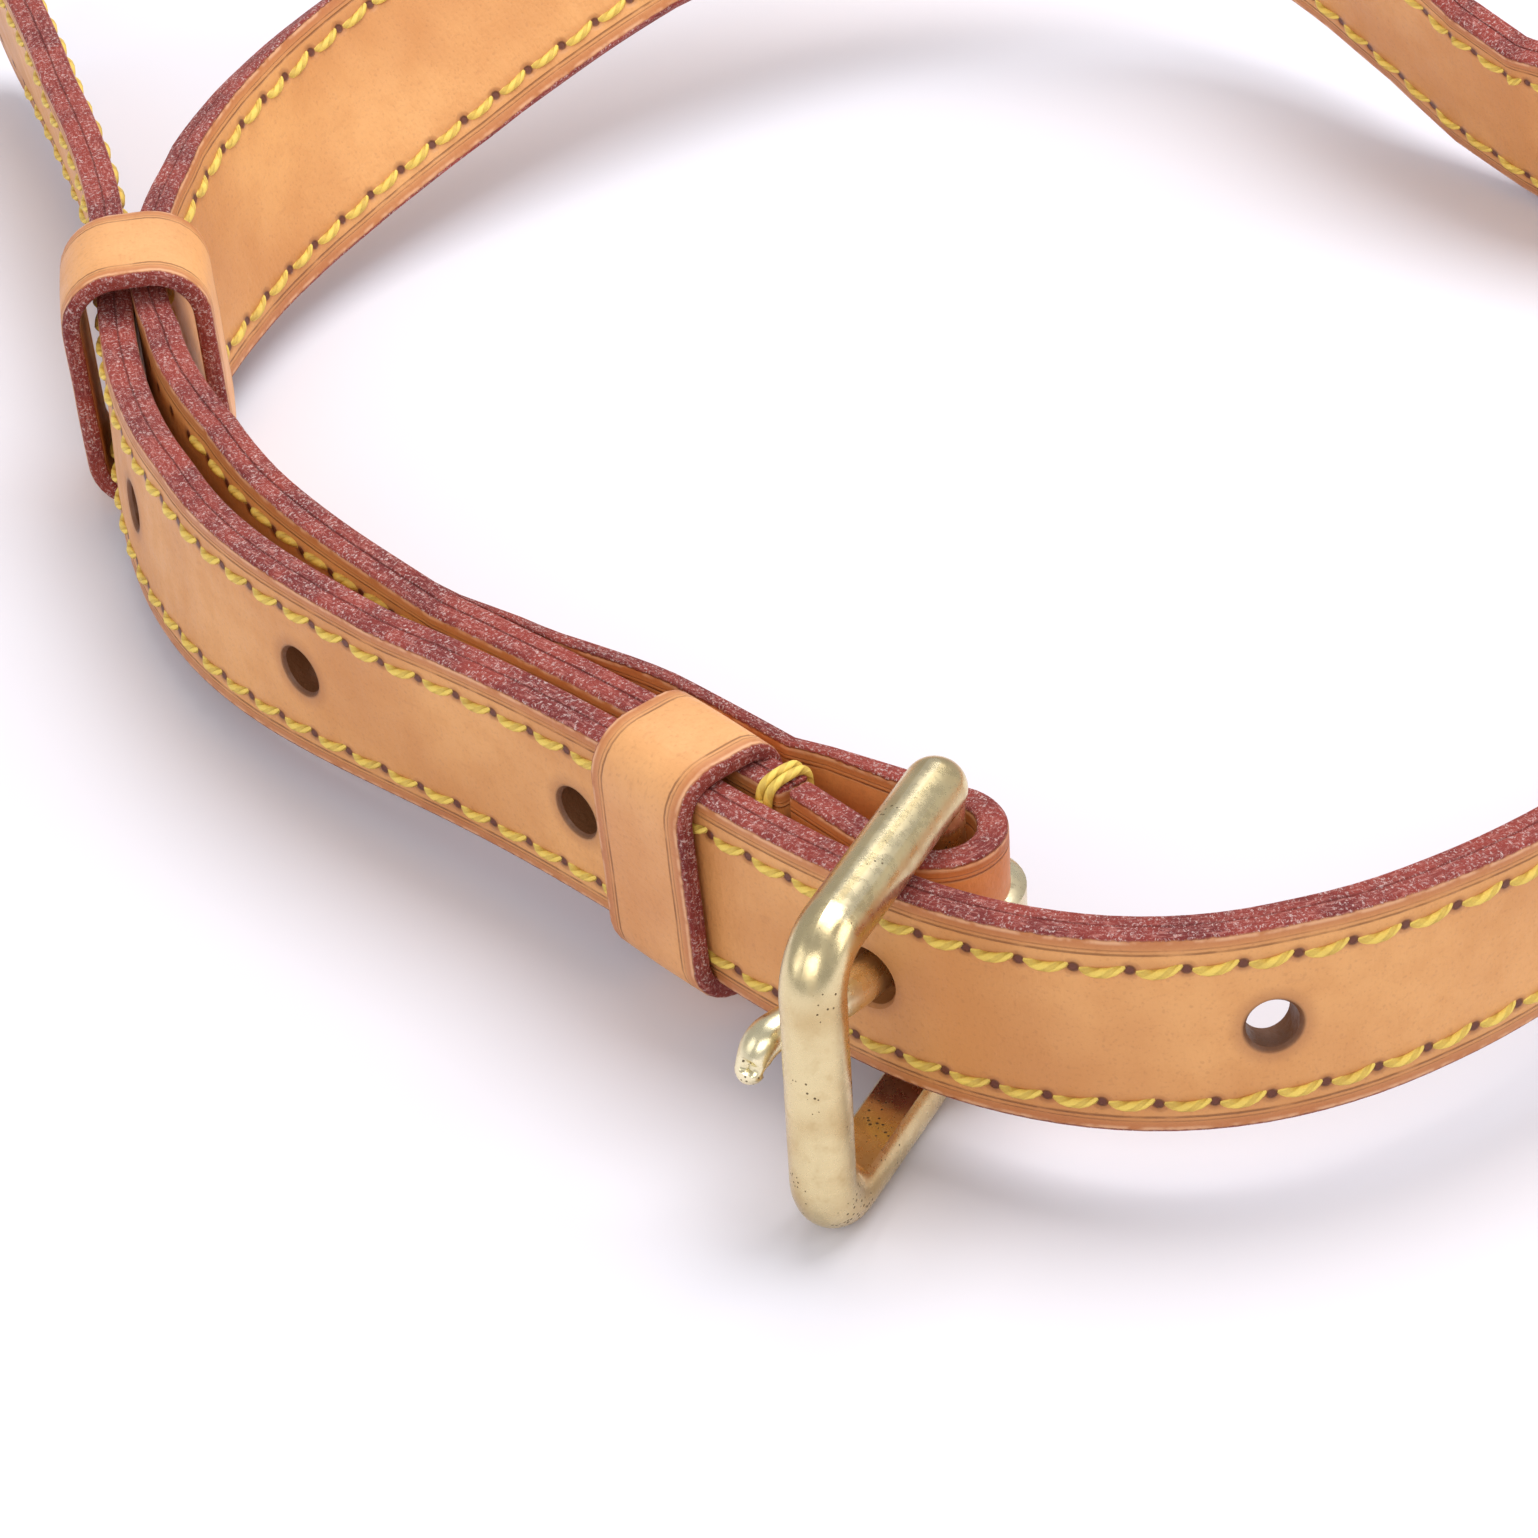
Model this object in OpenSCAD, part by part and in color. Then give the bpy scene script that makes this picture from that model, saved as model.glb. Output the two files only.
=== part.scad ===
// Saxophone neck strap: two stitched leather straps joined by a heel-bar buckle,
// with a fixed and a sliding keeper, and a brass swivel snap hook on a ring.
// Units mm, +Z up, the strap stands on edge on the floor (Z = 0).

/* [Straps] */
// Width of the holed strap
strap_width = 16; // [14:0.5:20]
// Width of the buckle strap past the sliding keeper
neck_width = 17.6; // [14:0.2:24]
// Thickness of one leather ply
ply = 1.4; // [1:0.1:2]
// Distance from strap edge to stitch row
stitch_inset = 2.53; // [2:0.01:4]
// Width of the stitch row stand-in
thread_width = 0.8; // [0.4:0.1:1.2]
// Height of the stitch row above the leather
thread_height = 0.2; // [0.1:0.05:0.5]
// Diameter of the adjustment holes
hole_diameter = 3.8; // [3:0.1:5]
// Diameter of the hole worn open by the tongue
worn_hole_diameter = 4.5; // [3.6:0.1:5]
// Distance between adjustment holes
hole_pitch = 29.3; // [20:0.1:40]

/* [Buckle] */
// Wire diameter of the buckle frame
frame_wire = 4.5; // [3:0.1:6]
// Height of the frame between bar centre-lines
frame_height = 21.6; // [18:0.1:30]
// Length from heel bar to front bar
frame_length = 19.9; // [14:0.1:30]
// Diameter of the heel bar
heel_wire = 4.0; // [3:0.1:5]
// Depth of the flat on the inner side of the side bars
bar_flat = 0.65; // [0:0.05:1]
// Direction of the open frame in degrees
frame_angle = -117; // [-125:1:-62]
// Tongue wire diameter
tongue_wire = 3.0; // [2:0.1:4]
// Direction of the tongue root in degrees
tongue_angle = -129.5; // [-131:0.5:-128]

/* [Keepers] */
// Length of each keeper along the strap
keeper_length = 9.9; // [6:0.1:16]
// Leather thickness of the keepers
keeper_wall = 1.5; // [1.2:0.1:2]
// Thickness of the fixed keeper where it is sewn in behind the strap
keeper_back = 0.8; // [0.6:0.1:0.8]
// Inner depth of the sliding keeper
slide_depth = 9.0; // [8.8:0.1:11]
// Inner depth of the fixed keeper
fixed_depth = 7.55; // [7.5:0.05:7.6]

/* [Hook] */
// Wire diameter of the ring
ring_wire = 3.6; // [3:0.1:5]
// Inner length of the ring
ring_length = 11; // [8:0.5:20]
// Inner radius of the snap hook
hook_radius = 6.5; // [5:0.25:9]
// Wire diameter of the snap hook
hook_wire = 4.5; // [3.5:0.25:6]

/* [Hidden] */
$fn = 48;
leather = [0.83, 0.55, 0.33];
edge_red = [0.55, 0.2, 0.2];
brass = [0.78, 0.68, 0.42];
yellow = [0.86, 0.74, 0.25];

// origin of the part frame inside the layout frame
origin_x = 163.409;
origin_y = 54.11;

// heading in degrees against distance along the billet, then the buckle strap
billet_heading = [[-24, -71], [0, -73.8], [14, -76.7], [28, -81.9], [40, -87.3], [52, -86.8],
  [62, -80.6], [72, -72.8], [80, -65.1], [88, -56], [96, -48.2], [104, -44.3], [112, -44.7],
  [124, -49.1], [140, -52.6], [156, -44.2], [164, -34.9], [172, -22], [180, -5.9], [188, 10.9],
  [196, 24.6], [204, 34], [212, 41.4], [222, 50.3], [240, 45], [264, 14], [284, 5], [400, 7],
  [480, 4], [505, 0], [530, 0]];
buckle_heading = [[0, 127.7], [12, 129.3], [24, 130.4], [36, 131.4], [46, 130.9], [56, 125.6],
  [66, 116.9], [76, 108.4], [84, 97.9], [92, 84.4], [100, 73.1], [108, 64], [116, 55.4],
  [126, 46.5], [136, 42.1], [150, 39.8], [165, 31.8], [180, 16.8], [192, 0.8], [204, -21.2],
  [214, -42.3], [224, -54.6], [250, -48], [274, -16], [294, -8], [410, -8], [490, -4],
  [515, 0], [540, 0]];
// base height and lean (degrees, top toward the left of travel) along each strap
billet_rise = [[-24, 2.2], [71, 2.2], [132, 4.4], [162, 5.2], [200, 6.8], [216, 7.2], [250, 4],
  [290, 0.6], [320, 0], [440, 0], [495, 4.3], [530, 4.3]];
billet_lean = [[-24, -9], [15, -9], [36, -3], [50, 0], [79, 2.4], [109, -6], [132, -2.6],
  [162, -0.3], [189, 2.5], [215, -3.7], [270, 0], [530, 0]];
buckle_rise = [[0, 5], [20, 4.4], [80, 2.2], [92, 2.3], [100, 2.6], [108, 3], [116, 3.8],
  [123, 4.7], [130, 6], [138, 7.6], [145, 9.3], [153, 10.9], [160, 12.2], [168, 13], [184, 13.8],
  [200, 12.6], [218, 8], [230, 5], [238, 2.2], [247, 0.5], [262, 0], [450, 0], [505, 4.3], [540, 4.3]];
buckle_lean = [[0, 0.5], [14, 2.6], [36, 6], [68, -2], [84, 0], [92, 5], [107, 12.7], [115, 18.8],
  [123, 25.6], [130, 32.3], [138, 37.6], [145, 43], [168, 42], [190, 25], [205, 5], [218, -10],
  [230, -18], [247, -20], [275, -8], [310, 0], [540, 0]];
buckle_width = [[0, strap_width], [60, strap_width], [110, neck_width], [400, neck_width],
  [460, strap_width], [540, strap_width]];

billet_a = -22;
billet_b = 505;
turn_a = 0;
buckle_b = 515;
thick = 2 * ply;
heel = [11, -13.8];
worn_hole = 157.6;

// plan positions every millimetre, anchored at the layout start point
function plan(tab, a, b, p) =
  [for (u = a, x = p[0], y = p[1];
        u <= b + 0.001;
        h = (lookup(u, tab) + lookup(u + 1, tab)) / 2,
        x = x + cos(lookup(u, tab)) / 2 + cos(lookup(u + 1, tab)) / 2,
        y = y + sin(lookup(u, tab)) / 2 + sin(lookup(u + 1, tab)) / 2,
        u = u + 1) [x, y]];
billet_plan = plan(billet_heading, -24, 530, [-65.65, 140.0]);
buckle_plan0 = plan(buckle_heading, 0, 540, [3, -7.5]);
function at(list, a, u) =
  let (i = floor(u - a), f = u - a - i)
  list[i] * (1 - f) + list[min(i + 1, len(list) - 1)] * f;
// ring bar centre follows from the billet end; the buckle strap is eased onto it
ring_x = at(billet_plan, -24, billet_b)[0] + 6;
ring_y = at(billet_plan, -24, billet_b)[1] + thick + 1.8;
end_gap = [ring_x - 6, ring_y + 1.8] - at(buckle_plan0, 0, buckle_b);
function ease(u) = let (k = max(0, min(1, (u - 300) / 200))) k * k * (3 - 2 * k);
buckle_plan = [for (i = [0:len(buckle_plan0) - 1]) buckle_plan0[i] + end_gap * ease(i)];

// station: [x, y, z, heading, lean, slope]
function billet_at(u) =
  let (p = at(billet_plan, -24, u))
  [p[0], p[1], lookup(u, billet_rise), lookup(u, billet_heading), lookup(u, billet_lean),
   atan((lookup(u + 2, billet_rise) - lookup(u - 2, billet_rise)) / 4)];
function buckle_at(u) =
  let (p = at(buckle_plan, 0, u), q = at(buckle_plan, 0, max(0, u - 1)),
       r = at(buckle_plan, 0, min(539, u + 1)))
  [p[0], p[1], lookup(u, buckle_rise), atan2(r[1] - q[1], r[0] - q[0]), lookup(u, buckle_lean),
   atan((lookup(u + 2, buckle_rise) - lookup(max(0, u - 2), buckle_rise)) / (min(2, u) + 2))];
billet_u = concat([for (u = [billet_a:4:302]) u], [for (u = [310:8:500]) u], [billet_b]);
buckle_u = concat([for (u = [0:4:304]) u], [for (u = [312:8:510]) u], [buckle_b]);
billet_st = [for (u = billet_u) billet_at(u)];
buckle_st = [for (u = buckle_u) buckle_at(u)];

function across(s) = [-sin(s[3]), cos(s[3]), 0];
function upright(s) = [-sin(s[5]) * cos(s[3]), -sin(s[5]) * sin(s[3]), cos(s[5])];
function wide(s) = upright(s) * cos(s[4]) + across(s) * sin(s[4]);
function deep(s) = across(s) * cos(s[4]) - upright(s) * sin(s[4]);
function spot(s, v, b) = [s[0], s[1], s[2]] + wide(s) * v + deep(s) * b;

// solid through four-cornered sections; both broad faces are split along matching diagonals
module skin(sections) {
  n = len(sections);
  sides = [for (i = [0:n - 2]) for (j = [0:3]) let (a = 4 * i + j, b = 4 * i + (j + 1) % 4)
    each (j == 2 ? [[a, b, b + 4], [a, b + 4, a + 4]] : [[a, b, a + 4], [b, b + 4, a + 4]])];
  ends = [[3, 2, 1], [3, 1, 0], [4 * n - 4, 4 * n - 3, 4 * n - 2], [4 * n - 4, 4 * n - 2, 4 * n - 1]];
  polyhedron(points = [for (q = sections) each q], faces = concat(sides, ends));
}
// sweep through stations; lo, hi across the width and b0, b1 through the thickness
module sweep(st, lo, hi, b0, b1) {
  skin([for (i = [0:len(st) - 1]) [spot(st[i], lo[i], b0[i]), spot(st[i], hi[i], b0[i]),
    spot(st[i], hi[i], b1[i]), spot(st[i], lo[i], b1[i])]]);
}
function same(v, n) = [for (i = [1:n]) v];

// the free tip of the billet is rounded by trimming its width over the last stations
function tip_cut(u) = u < -14 ? 8 - sqrt(max(0, 64 - pow(-14 - u, 2))) : 0;
billet_lo = [for (u = billet_u) tip_cut(u) * 0.9];
billet_hi = [for (u = billet_u) strap_width - tip_cut(u) * 0.9];
buckle_lo = same(0, len(buckle_u));
buckle_hi = [for (u = buckle_u) lookup(u, buckle_width)];

module billet_ply(b0, b1) {
  difference() {
    sweep(billet_st, billet_lo, billet_hi, same(b0, len(billet_u)), same(b1, len(billet_u)));
    for (k = [-3:1]) billet_hole(worn_hole + k * hole_pitch, k == 0 ? worn_hole_diameter : hole_diameter);
  }
}
module billet_hole(u, d) {
  s = billet_at(u);
  translate(spot(s, strap_width / 2, 0))
    rotate([0, 0, s[3]]) rotate([-90 - s[4], 0, 0])
      translate([0, 0, -3]) cylinder(d = d, h = 9);
}
// point on the split line of the strap face between two stations, at share f of the width
function split(st, hi, i, f, b) = spot(st[i], hi[i], b) * f + spot(st[i + 1], 0, b) * (1 - f);
module row(st, hi, v, b0, b1) {
  h = thread_width / 2;
  skin([for (i = [0:len(st) - 1]) let (lo = v[i] - h, up = v[i] + h, fl = lo / hi[i], fu = up / hi[i])
    each concat(
      [[spot(st[i], lo, b0), spot(st[i], up, b0), spot(st[i], up, b1), spot(st[i], lo, b1)]],
      i == len(st) - 1 ? [] : [[split(st, hi, i, fl, b0), split(st, hi, i, fu, b0),
        split(st, hi, i, fu, b1), split(st, hi, i, fl, b1)]])]);
}
module pair(st, hi, b0, b1) {
  row(st, hi, same(stitch_inset, len(st)), b0, b1);
  row(st, hi, [for (h = hi) h - stitch_inset], b0, b1);
}
module front_rows(u, st, hi, a, b) {
  pick = [for (i = [0:len(u) - 1]) if (u[i] >= a && u[i] <= b) i];
  pair([for (i = pick) st[i]], [for (i = pick) hi[i]], -thread_height, 0);
}
module back_rows(u, st, hi, a, b) {
  pick = [for (i = [0:len(u) - 1]) if (u[i] >= a && u[i] <= b) i];
  pair([for (i = pick) st[i]], [for (i = pick) hi[i]], thick, thick + thread_height);
}

module billet_outer_leather() {
  color(leather) billet_ply(0, ply);
}
module billet_lining() {
  color(leather) billet_ply(ply, thick);
}
// stitch rows stop short of the rounded tip and of the turned ring tab, and the rows on the
// facing sides pause where the two straps nearly touch inside the sliding keeper
billet_wide = same(strap_width, len(billet_u));
module billet_stitching() {
  color(yellow) {
    front_rows(billet_u, billet_st, billet_wide, -11, 483);
    back_rows(billet_u, billet_st, billet_wide, -11, 39);
    back_rows(billet_u, billet_st, billet_wide, 66, 483);
  }
}

module buckle_strap_outer_leather() {
  n = len(buckle_u);
  color(leather) sweep(buckle_st, buckle_lo, buckle_hi, same(0, n), same(ply, n));
}
module buckle_strap_lining() {
  n = len(buckle_u);
  color(leather) sweep(buckle_st, buckle_lo, buckle_hi, same(ply, n), same(thick, n));
}
// the face that carries the return leaf is stitched only past the end of the leaf
module buckle_strap_stitching() {
  color(yellow) {
    front_rows(buckle_u, buckle_st, buckle_hi, 43, 495);
    back_rows(buckle_u, buckle_st, buckle_hi, 7, 73);
    back_rows(buckle_u, buckle_st, buckle_hi, 102, 495);
  }
}

// leather turned round the heel bar, returning behind the buckle strap to a skived end
leaf = 2.2;
turn_r = 3.8;
near_h = -51.7;
far_h = 142.3;
near_start = [1.95, -8.55];
function ring_pt(h) = [heel[0] + turn_r * sin(h), heel[1] - turn_r * cos(h)];
turn_bar = concat(
  [for (k = [0:3]) let (p = near_start * (1 - k / 3) + ring_pt(near_h) * (k / 3)) [p[0], p[1], near_h]],
  [for (h = [near_h + 11.6:11.64:far_h - 5]) [ring_pt(h)[0], ring_pt(h)[1], h]],
  [for (k = [0:2]) let (p = ring_pt(far_h) * (1 - k / 2) + [4.62, -4.06] * (k / 2)) [p[0], p[1], far_h]]);
turn_u = [for (u = [4:4:40]) u];
// the return leaf passes outside the fixed keeper, then closes onto the strap
function leaf_gap(u) = let (k = max(0, min(1, (u - 15) / 13))) 1.5 * (1 - k * k * (3 - 2 * k));
turn_st = concat([for (p = turn_bar) [p[0], p[1], 5, p[2], 0, 0]],
  [for (u = turn_u) let (s = buckle_at(u), q = spot(s, 0, -leaf / 2 - leaf_gap(u))) [q[0], q[1], q[2], s[3], s[4], s[5]]]);
// the leaf thins to half on its way from the bar to the keeper and is skived past it
turn_b0 = concat(same(-leaf / 2, len(turn_bar) - 3), [for (k = [0:2]) -leaf / 2 * (1 - k / 2)],
  [for (u = turn_u) u < 24 ? 0 : leaf / 2 - leaf / 2 * (42 - u) / 18]);
module buckle_turn() {
  n = len(turn_st);
  color(leather) difference() {
    sweep(turn_st, same(0, n), same(strap_width, n), turn_b0, same(leaf / 2, n));
    translate([heel[0], heel[1], 10.5]) cylinder(r = 7.3, h = 5.4);
  }
}
// waxed thread tied over both leaves beside the fixed keeper
module buckle_tack_thread() {
  s = buckle_at(1.6);
  q = spot(s, 0, 0);
  color(yellow) translate([q[0], q[1], q[2]]) rotate([0, 0, s[3]]) rotate([-s[4], 0, 0])
    for (x = [-0.8, 0.4]) {
      translate([x, -0.8, strap_width + 0.4]) rotate([-90, 0, 0]) cylinder(d = 0.7, h = thick + 1.4, $fn = 16);
      for (y = [-0.5, thick + 0.4]) translate([x, y, strap_width - 4]) cylinder(d = 0.6, h = 4.3, $fn = 16);
    }
}

// band of leather with rounded corners, bore along X and centred at the origin
module band(depth, height, length, back) {
  rotate([90, 0, 90]) translate([0, 0, -length / 2]) linear_extrude(length) difference() {
    translate([(back - keeper_wall) / 2, 0])
      rounded(depth + keeper_wall + back, height + 2 * keeper_wall, 3.6);
    rounded(depth, height, 0.6);
  }
}
module rounded(w, h, r) {
  square([w - 2 * r, h], center = true);
  square([w, h - 2 * r], center = true);
  for (x = [-1, 1], y = [-1, 1]) translate([x * (w / 2 - r), y * (h / 2 - r)]) circle(r);
}
fixed_u = 137.6;
module fixed_keeper() {
  s = billet_at(fixed_u);
  q = spot(s, strap_width / 2, fixed_depth / 2 - 0.45);
  color(edge_red) translate(q) rotate([0, 0, s[3]]) rotate([0, -s[5], 0]) rotate([-s[4], 0, 0])
    band(fixed_depth, strap_width + 0.7, keeper_length, keeper_back);
}
slide_u = 49.5;
slide_height = 18.8;
module sliding_keeper() {
  s = billet_at(slide_u);
  q = spot(s, 0, slide_depth / 2 - 1.1);
  color(edge_red) translate([q[0], q[1], slide_height / 2 + keeper_wall + 0.13])
    rotate([0, 0, s[3] + 1]) rotate([3, 0, 0]) band(slide_depth, slide_height, keeper_length, keeper_wall);
}

// quarter bend of round wire, centre-line radius r, from +X travel to +Y travel
module bend(r, d) {
  rotate_extrude(angle = 90) translate([r, 0]) circle(d = d);
}
module flat_bar(len, d, flat) {
  rotate([0, 90, 0]) difference() {
    cylinder(d = d, h = len);
    translate([-d / 2 - d + flat, -d, -1]) cube([d, 2 * d, len + 2]);
  }
}
corner = 3.4;
module buckle_frame() {
  r = frame_wire / 2;
  hz = frame_height;
  color(brass) translate([heel[0], heel[1], r]) rotate([0, 0, frame_angle]) {
    cylinder(d = heel_wire, h = hz);
    for (k = [0, 1]) translate([0, 0, k * hz]) sphere(r = r);
    flat_bar(frame_length - corner, frame_wire, bar_flat);
    translate([0, 0, hz]) rotate([180, 0, 0]) flat_bar(frame_length - corner, frame_wire, bar_flat);
    translate([frame_length, 0, corner]) cylinder(r = r, h = hz - 2 * corner);
    translate([frame_length - corner, 0, corner]) rotate([90, 0, 0]) rotate([0, 0, -90]) bend(corner, frame_wire);
    translate([frame_length - corner, 0, hz - corner]) rotate([90, 0, 0]) bend(corner, frame_wire);
  }
}
// tongue: eye round the heel bar, straight root through the strap, tip bent toward the keeper
tongue_z = 13.2;
tongue_turn = 14.5;
module buckle_tongue() {
  color(brass) translate([heel[0], heel[1], tongue_z]) {
    translate([0, 0, -2]) linear_extrude(4) difference() {
      union() {
        circle(r = 4.7);
        rotate([0, 0, 42]) translate([2.1, 0]) circle(r = 4.5);
      }
      circle(d = heel_wire + 0.12);
    }
    rotate([0, 0, tongue_angle]) {
      translate([3.7, 0, 0]) rotate([0, 90, 0]) cylinder(d = tongue_wire, h = 6.8);
      translate([10.5, 0, 0]) sphere(d = tongue_wire + 0.3);
      translate([10.5, 0, 0]) rotate([0, 90, -tongue_turn]) {
        cylinder(d = tongue_wire, h = 7.6);
        translate([0, 0, 7.6]) cylinder(d1 = tongue_wire, d2 = 1.6, h = 1.4);
      }
    }
  }
}

// leather tab turned round the ring bar, its two leaves held between the strap ends
module ring_tab() {
  r = ring_wire / 2 + 0.05;
  color(leather) translate([ring_x, ring_y, 4.3]) linear_extrude(strap_width) difference() {
    union() {
      circle(r = r + 1.8);
      translate([-30, -1.8]) square([28, 3.6]);
      polygon([[-6, -1.8], [-2.2, -2.86], [-2.2, 2.86], [-6, 1.8]]);
    }
    circle(r = r);
  }
}
// cross stitches through straps and tab at the ring end
module ring_tab_thread() {
  color(yellow) for (x = [-9, -13], z = [3.2, 6.4, 9.6, 12.8])
    translate([ring_x + x, ring_y, 4.3 + z - 0.4]) for (s = [-1, 1])
      translate([0, s * (1.8 + thick + 0.46), 0]) rotate([0, 90, 0]) translate([0, 0, -1.3])
        cylinder(d = 0.3, h = 2.6, $fn = 16);
}
ring_h = 17.6 + ring_wire;
module hook_ring() {
  c = 3;
  L = ring_length + ring_wire;
  color(brass) translate([ring_x, ring_y, ring_wire / 2]) {
    for (x = [0, L]) translate([x, 0, c]) cylinder(d = ring_wire, h = ring_h - 2 * c);
    for (z = [0, ring_h]) translate([c, 0, z]) rotate([0, 90, 0]) cylinder(d = ring_wire, h = L - 2 * c);
    translate([L - c, 0, ring_h - c]) rotate([90, 0, 0]) bend(c, ring_wire);
    translate([L - c, 0, c]) rotate([90, 0, 0]) rotate([0, 0, -90]) bend(c, ring_wire);
    translate([c, 0, ring_h - c]) rotate([90, 0, 0]) rotate([0, 0, 90]) bend(c, ring_wire);
    translate([c, 0, c]) rotate([90, 0, 0]) rotate([0, 0, 180]) bend(c, ring_wire);
  }
}

// snap hook: everything below is laid out from the swivel eye at the far ring bar
eye_x = ring_x + ring_length + ring_wire;
hook_z = 7.2;
module swivel_eye() {
  color(brass) translate([eye_x, ring_y, hook_z]) difference() {
    union() {
      translate([0, 0, -2]) cylinder(r = 4.6, h = 4);
      translate([3.6, 0, 0]) rotate([0, 90, 0]) cylinder(r = 1.9, h = 8);
      translate([8.2, 0, 0]) rotate([0, 90, 0]) cylinder(r = 3.1, h = 3.4);
    }
    translate([0, 0, -5]) cylinder(d = ring_wire + 0.12, h = 10);
  }
}
body_x = eye_x + 5.6;
hr = hook_radius + hook_wire / 2;
gate_px = body_x + 10.5;
gate_py = 8.2;
module hook_body() {
  color(brass) translate([body_x, ring_y, hook_z]) {
    difference() {
      union() {
        rotate([0, 90, 0]) cylinder(r = 4.9, h = 9);
        translate([9, 0, 0]) sphere(r = 4.9);
        translate([9, -hr, 0]) rotate([-90, 0, 0]) cylinder(d = hook_wire, h = hr);
        translate([10.5, 0, -2.9]) cylinder(r = 3.4, h = 5.8);
        translate([8, 0, -2.9]) cube([5.6, gate_py, 5.8]);
        translate([10.5, gate_py, -2.9]) cylinder(r = 3.1, h = 5.8);
      }
      translate([-1, 0, 0]) rotate([0, 90, 0]) cylinder(r = 1.98, h = 4);
      translate([2.5, 0, 0]) rotate([0, 90, 0]) cylinder(r = 3.2, h = 3.7);
      translate([gate_px - body_x - 3.6, gate_py - 3.6, -1.65]) cube([12, 8, 3.3]);
      translate([10.5, gate_py, -5]) cylinder(d = 1.86, h = 10);
    }
    translate([9, -hr, 0]) sphere(d = hook_wire);
    translate([9, -hr, 0]) rotate([0, 90, 0]) cylinder(d = hook_wire, h = 13);
    translate([22, 0, 0]) rotate([0, 0, -90]) rotate_extrude(angle = 180) translate([hr, 0]) circle(d = hook_wire);
    difference() {
      translate([20.4, hr, 0]) rotate([0, 90, 0]) cylinder(d = hook_wire, h = 1.6);
      translate([18, hr - 5, -1]) cube([1, 1, 1]);
    }
    translate([20.4, hr, 0]) sphere(d = hook_wire);
  }
}
// gate bar swings inward about its pin
gate_open_gap = 0.35;
module hook_gate() {
  gl = 9.9 - 2.35 - gate_open_gap;
  color(brass) translate([gate_px, ring_y + gate_py, hook_z]) difference() {
    union() {
      translate([0, 0, -1.3]) cylinder(r = 2.5, h = 2.6);
      translate([1.5, 0.25, 0]) rotate([0, 90, 3]) cylinder(r = 1.5, h = gl - 1.5 - 0.1);
      translate([gl - 0.6, 0.5, 0]) rotate([0, 90, 3]) translate([0, 0, -1]) cylinder(r = 1.5, h = 1);
    }
    translate([0, 0, -5]) cylinder(d = 1.86, h = 10);
  }
}
module gate_pin() {
  color(brass) translate([gate_px, ring_y + gate_py, hook_z]) {
    translate([0, 0, -3.3]) cylinder(d = 1.7, h = 6.6);
    for (s = [-1, 1]) translate([0, 0, s * 3.1 - 0.2]) cylinder(d = 2.6, h = 0.4);
  }
}
// leaf spring lying in the body slot behind the gate root
module gate_spring() {
  color([0.6, 0.6, 0.62]) translate([gate_px - 3.5, ring_y + gate_py - 3.1, hook_z - 1.2])
    cube([0.5, 5, 2.4]);
}

module placed() {
  translate([-origin_x, -origin_y, 0]) children();
}
placed() billet_outer_leather();
placed() billet_lining();
placed() billet_stitching();
placed() buckle_strap_outer_leather();
placed() buckle_strap_lining();
placed() buckle_strap_stitching();
placed() buckle_turn();
placed() buckle_tack_thread();
placed() fixed_keeper();
placed() sliding_keeper();
placed() buckle_frame();
placed() buckle_tongue();
placed() ring_tab();
placed() ring_tab_thread();
placed() hook_ring();
placed() swivel_eye();
placed() hook_body();
placed() hook_gate();
placed() gate_pin();
placed() gate_spring();
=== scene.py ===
import math
import random

import bmesh
import bpy
from mathutils import Matrix, Vector


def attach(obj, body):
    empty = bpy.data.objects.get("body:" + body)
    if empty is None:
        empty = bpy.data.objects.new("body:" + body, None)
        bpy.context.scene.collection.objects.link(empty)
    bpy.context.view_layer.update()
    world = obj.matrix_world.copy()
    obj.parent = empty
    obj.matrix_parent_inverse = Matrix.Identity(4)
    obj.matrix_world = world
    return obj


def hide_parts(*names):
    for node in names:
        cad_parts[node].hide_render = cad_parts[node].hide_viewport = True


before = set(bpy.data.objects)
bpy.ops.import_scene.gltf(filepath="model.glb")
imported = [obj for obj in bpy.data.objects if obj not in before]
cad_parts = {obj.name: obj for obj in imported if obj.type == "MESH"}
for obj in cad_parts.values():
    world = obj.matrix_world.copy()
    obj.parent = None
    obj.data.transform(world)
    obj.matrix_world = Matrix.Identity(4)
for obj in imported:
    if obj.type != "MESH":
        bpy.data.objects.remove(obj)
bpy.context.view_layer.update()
random.seed(11)

# ---------------------------------------------------------------- strap paths, in millimetres of the layout
MM = 0.001
OX, OY = 163.409, 54.11
W = 16.0
PLY = 1.4
THICK = 2.8
INSET = 2.53
PITCH = 3.788
HEEL = (11.0, -13.8)
HOLE0, HOLE_STEP = 157.6, 29.3

BILLET_HEADING = [[-24, -71], [0, -73.8], [14, -76.7], [28, -81.9], [40, -87.3], [52, -86.8],
    [62, -80.6], [72, -72.8], [80, -65.1], [88, -56], [96, -48.2], [104, -44.3], [112, -44.7],
    [124, -49.1], [140, -52.6], [156, -44.2], [164, -34.9], [172, -22], [180, -5.9], [188, 10.9],
    [196, 24.6], [204, 34], [212, 41.4], [222, 50.3], [240, 45], [264, 14], [284, 5], [400, 7],
    [480, 4], [505, 0], [530, 0]]
BUCKLE_HEADING = [[0, 127.7], [12, 129.3], [24, 130.4], [36, 131.4], [46, 130.9], [56, 125.6],
    [66, 116.9], [76, 108.4], [84, 97.9], [92, 84.4], [100, 73.1], [108, 64], [116, 55.4],
    [126, 46.5], [136, 42.1], [150, 39.8], [165, 31.8], [180, 16.8], [192, 0.8], [204, -21.2],
    [214, -42.3], [224, -54.6], [250, -48], [274, -16], [294, -8], [410, -8], [490, -4],
    [515, 0], [540, 0]]
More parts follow.
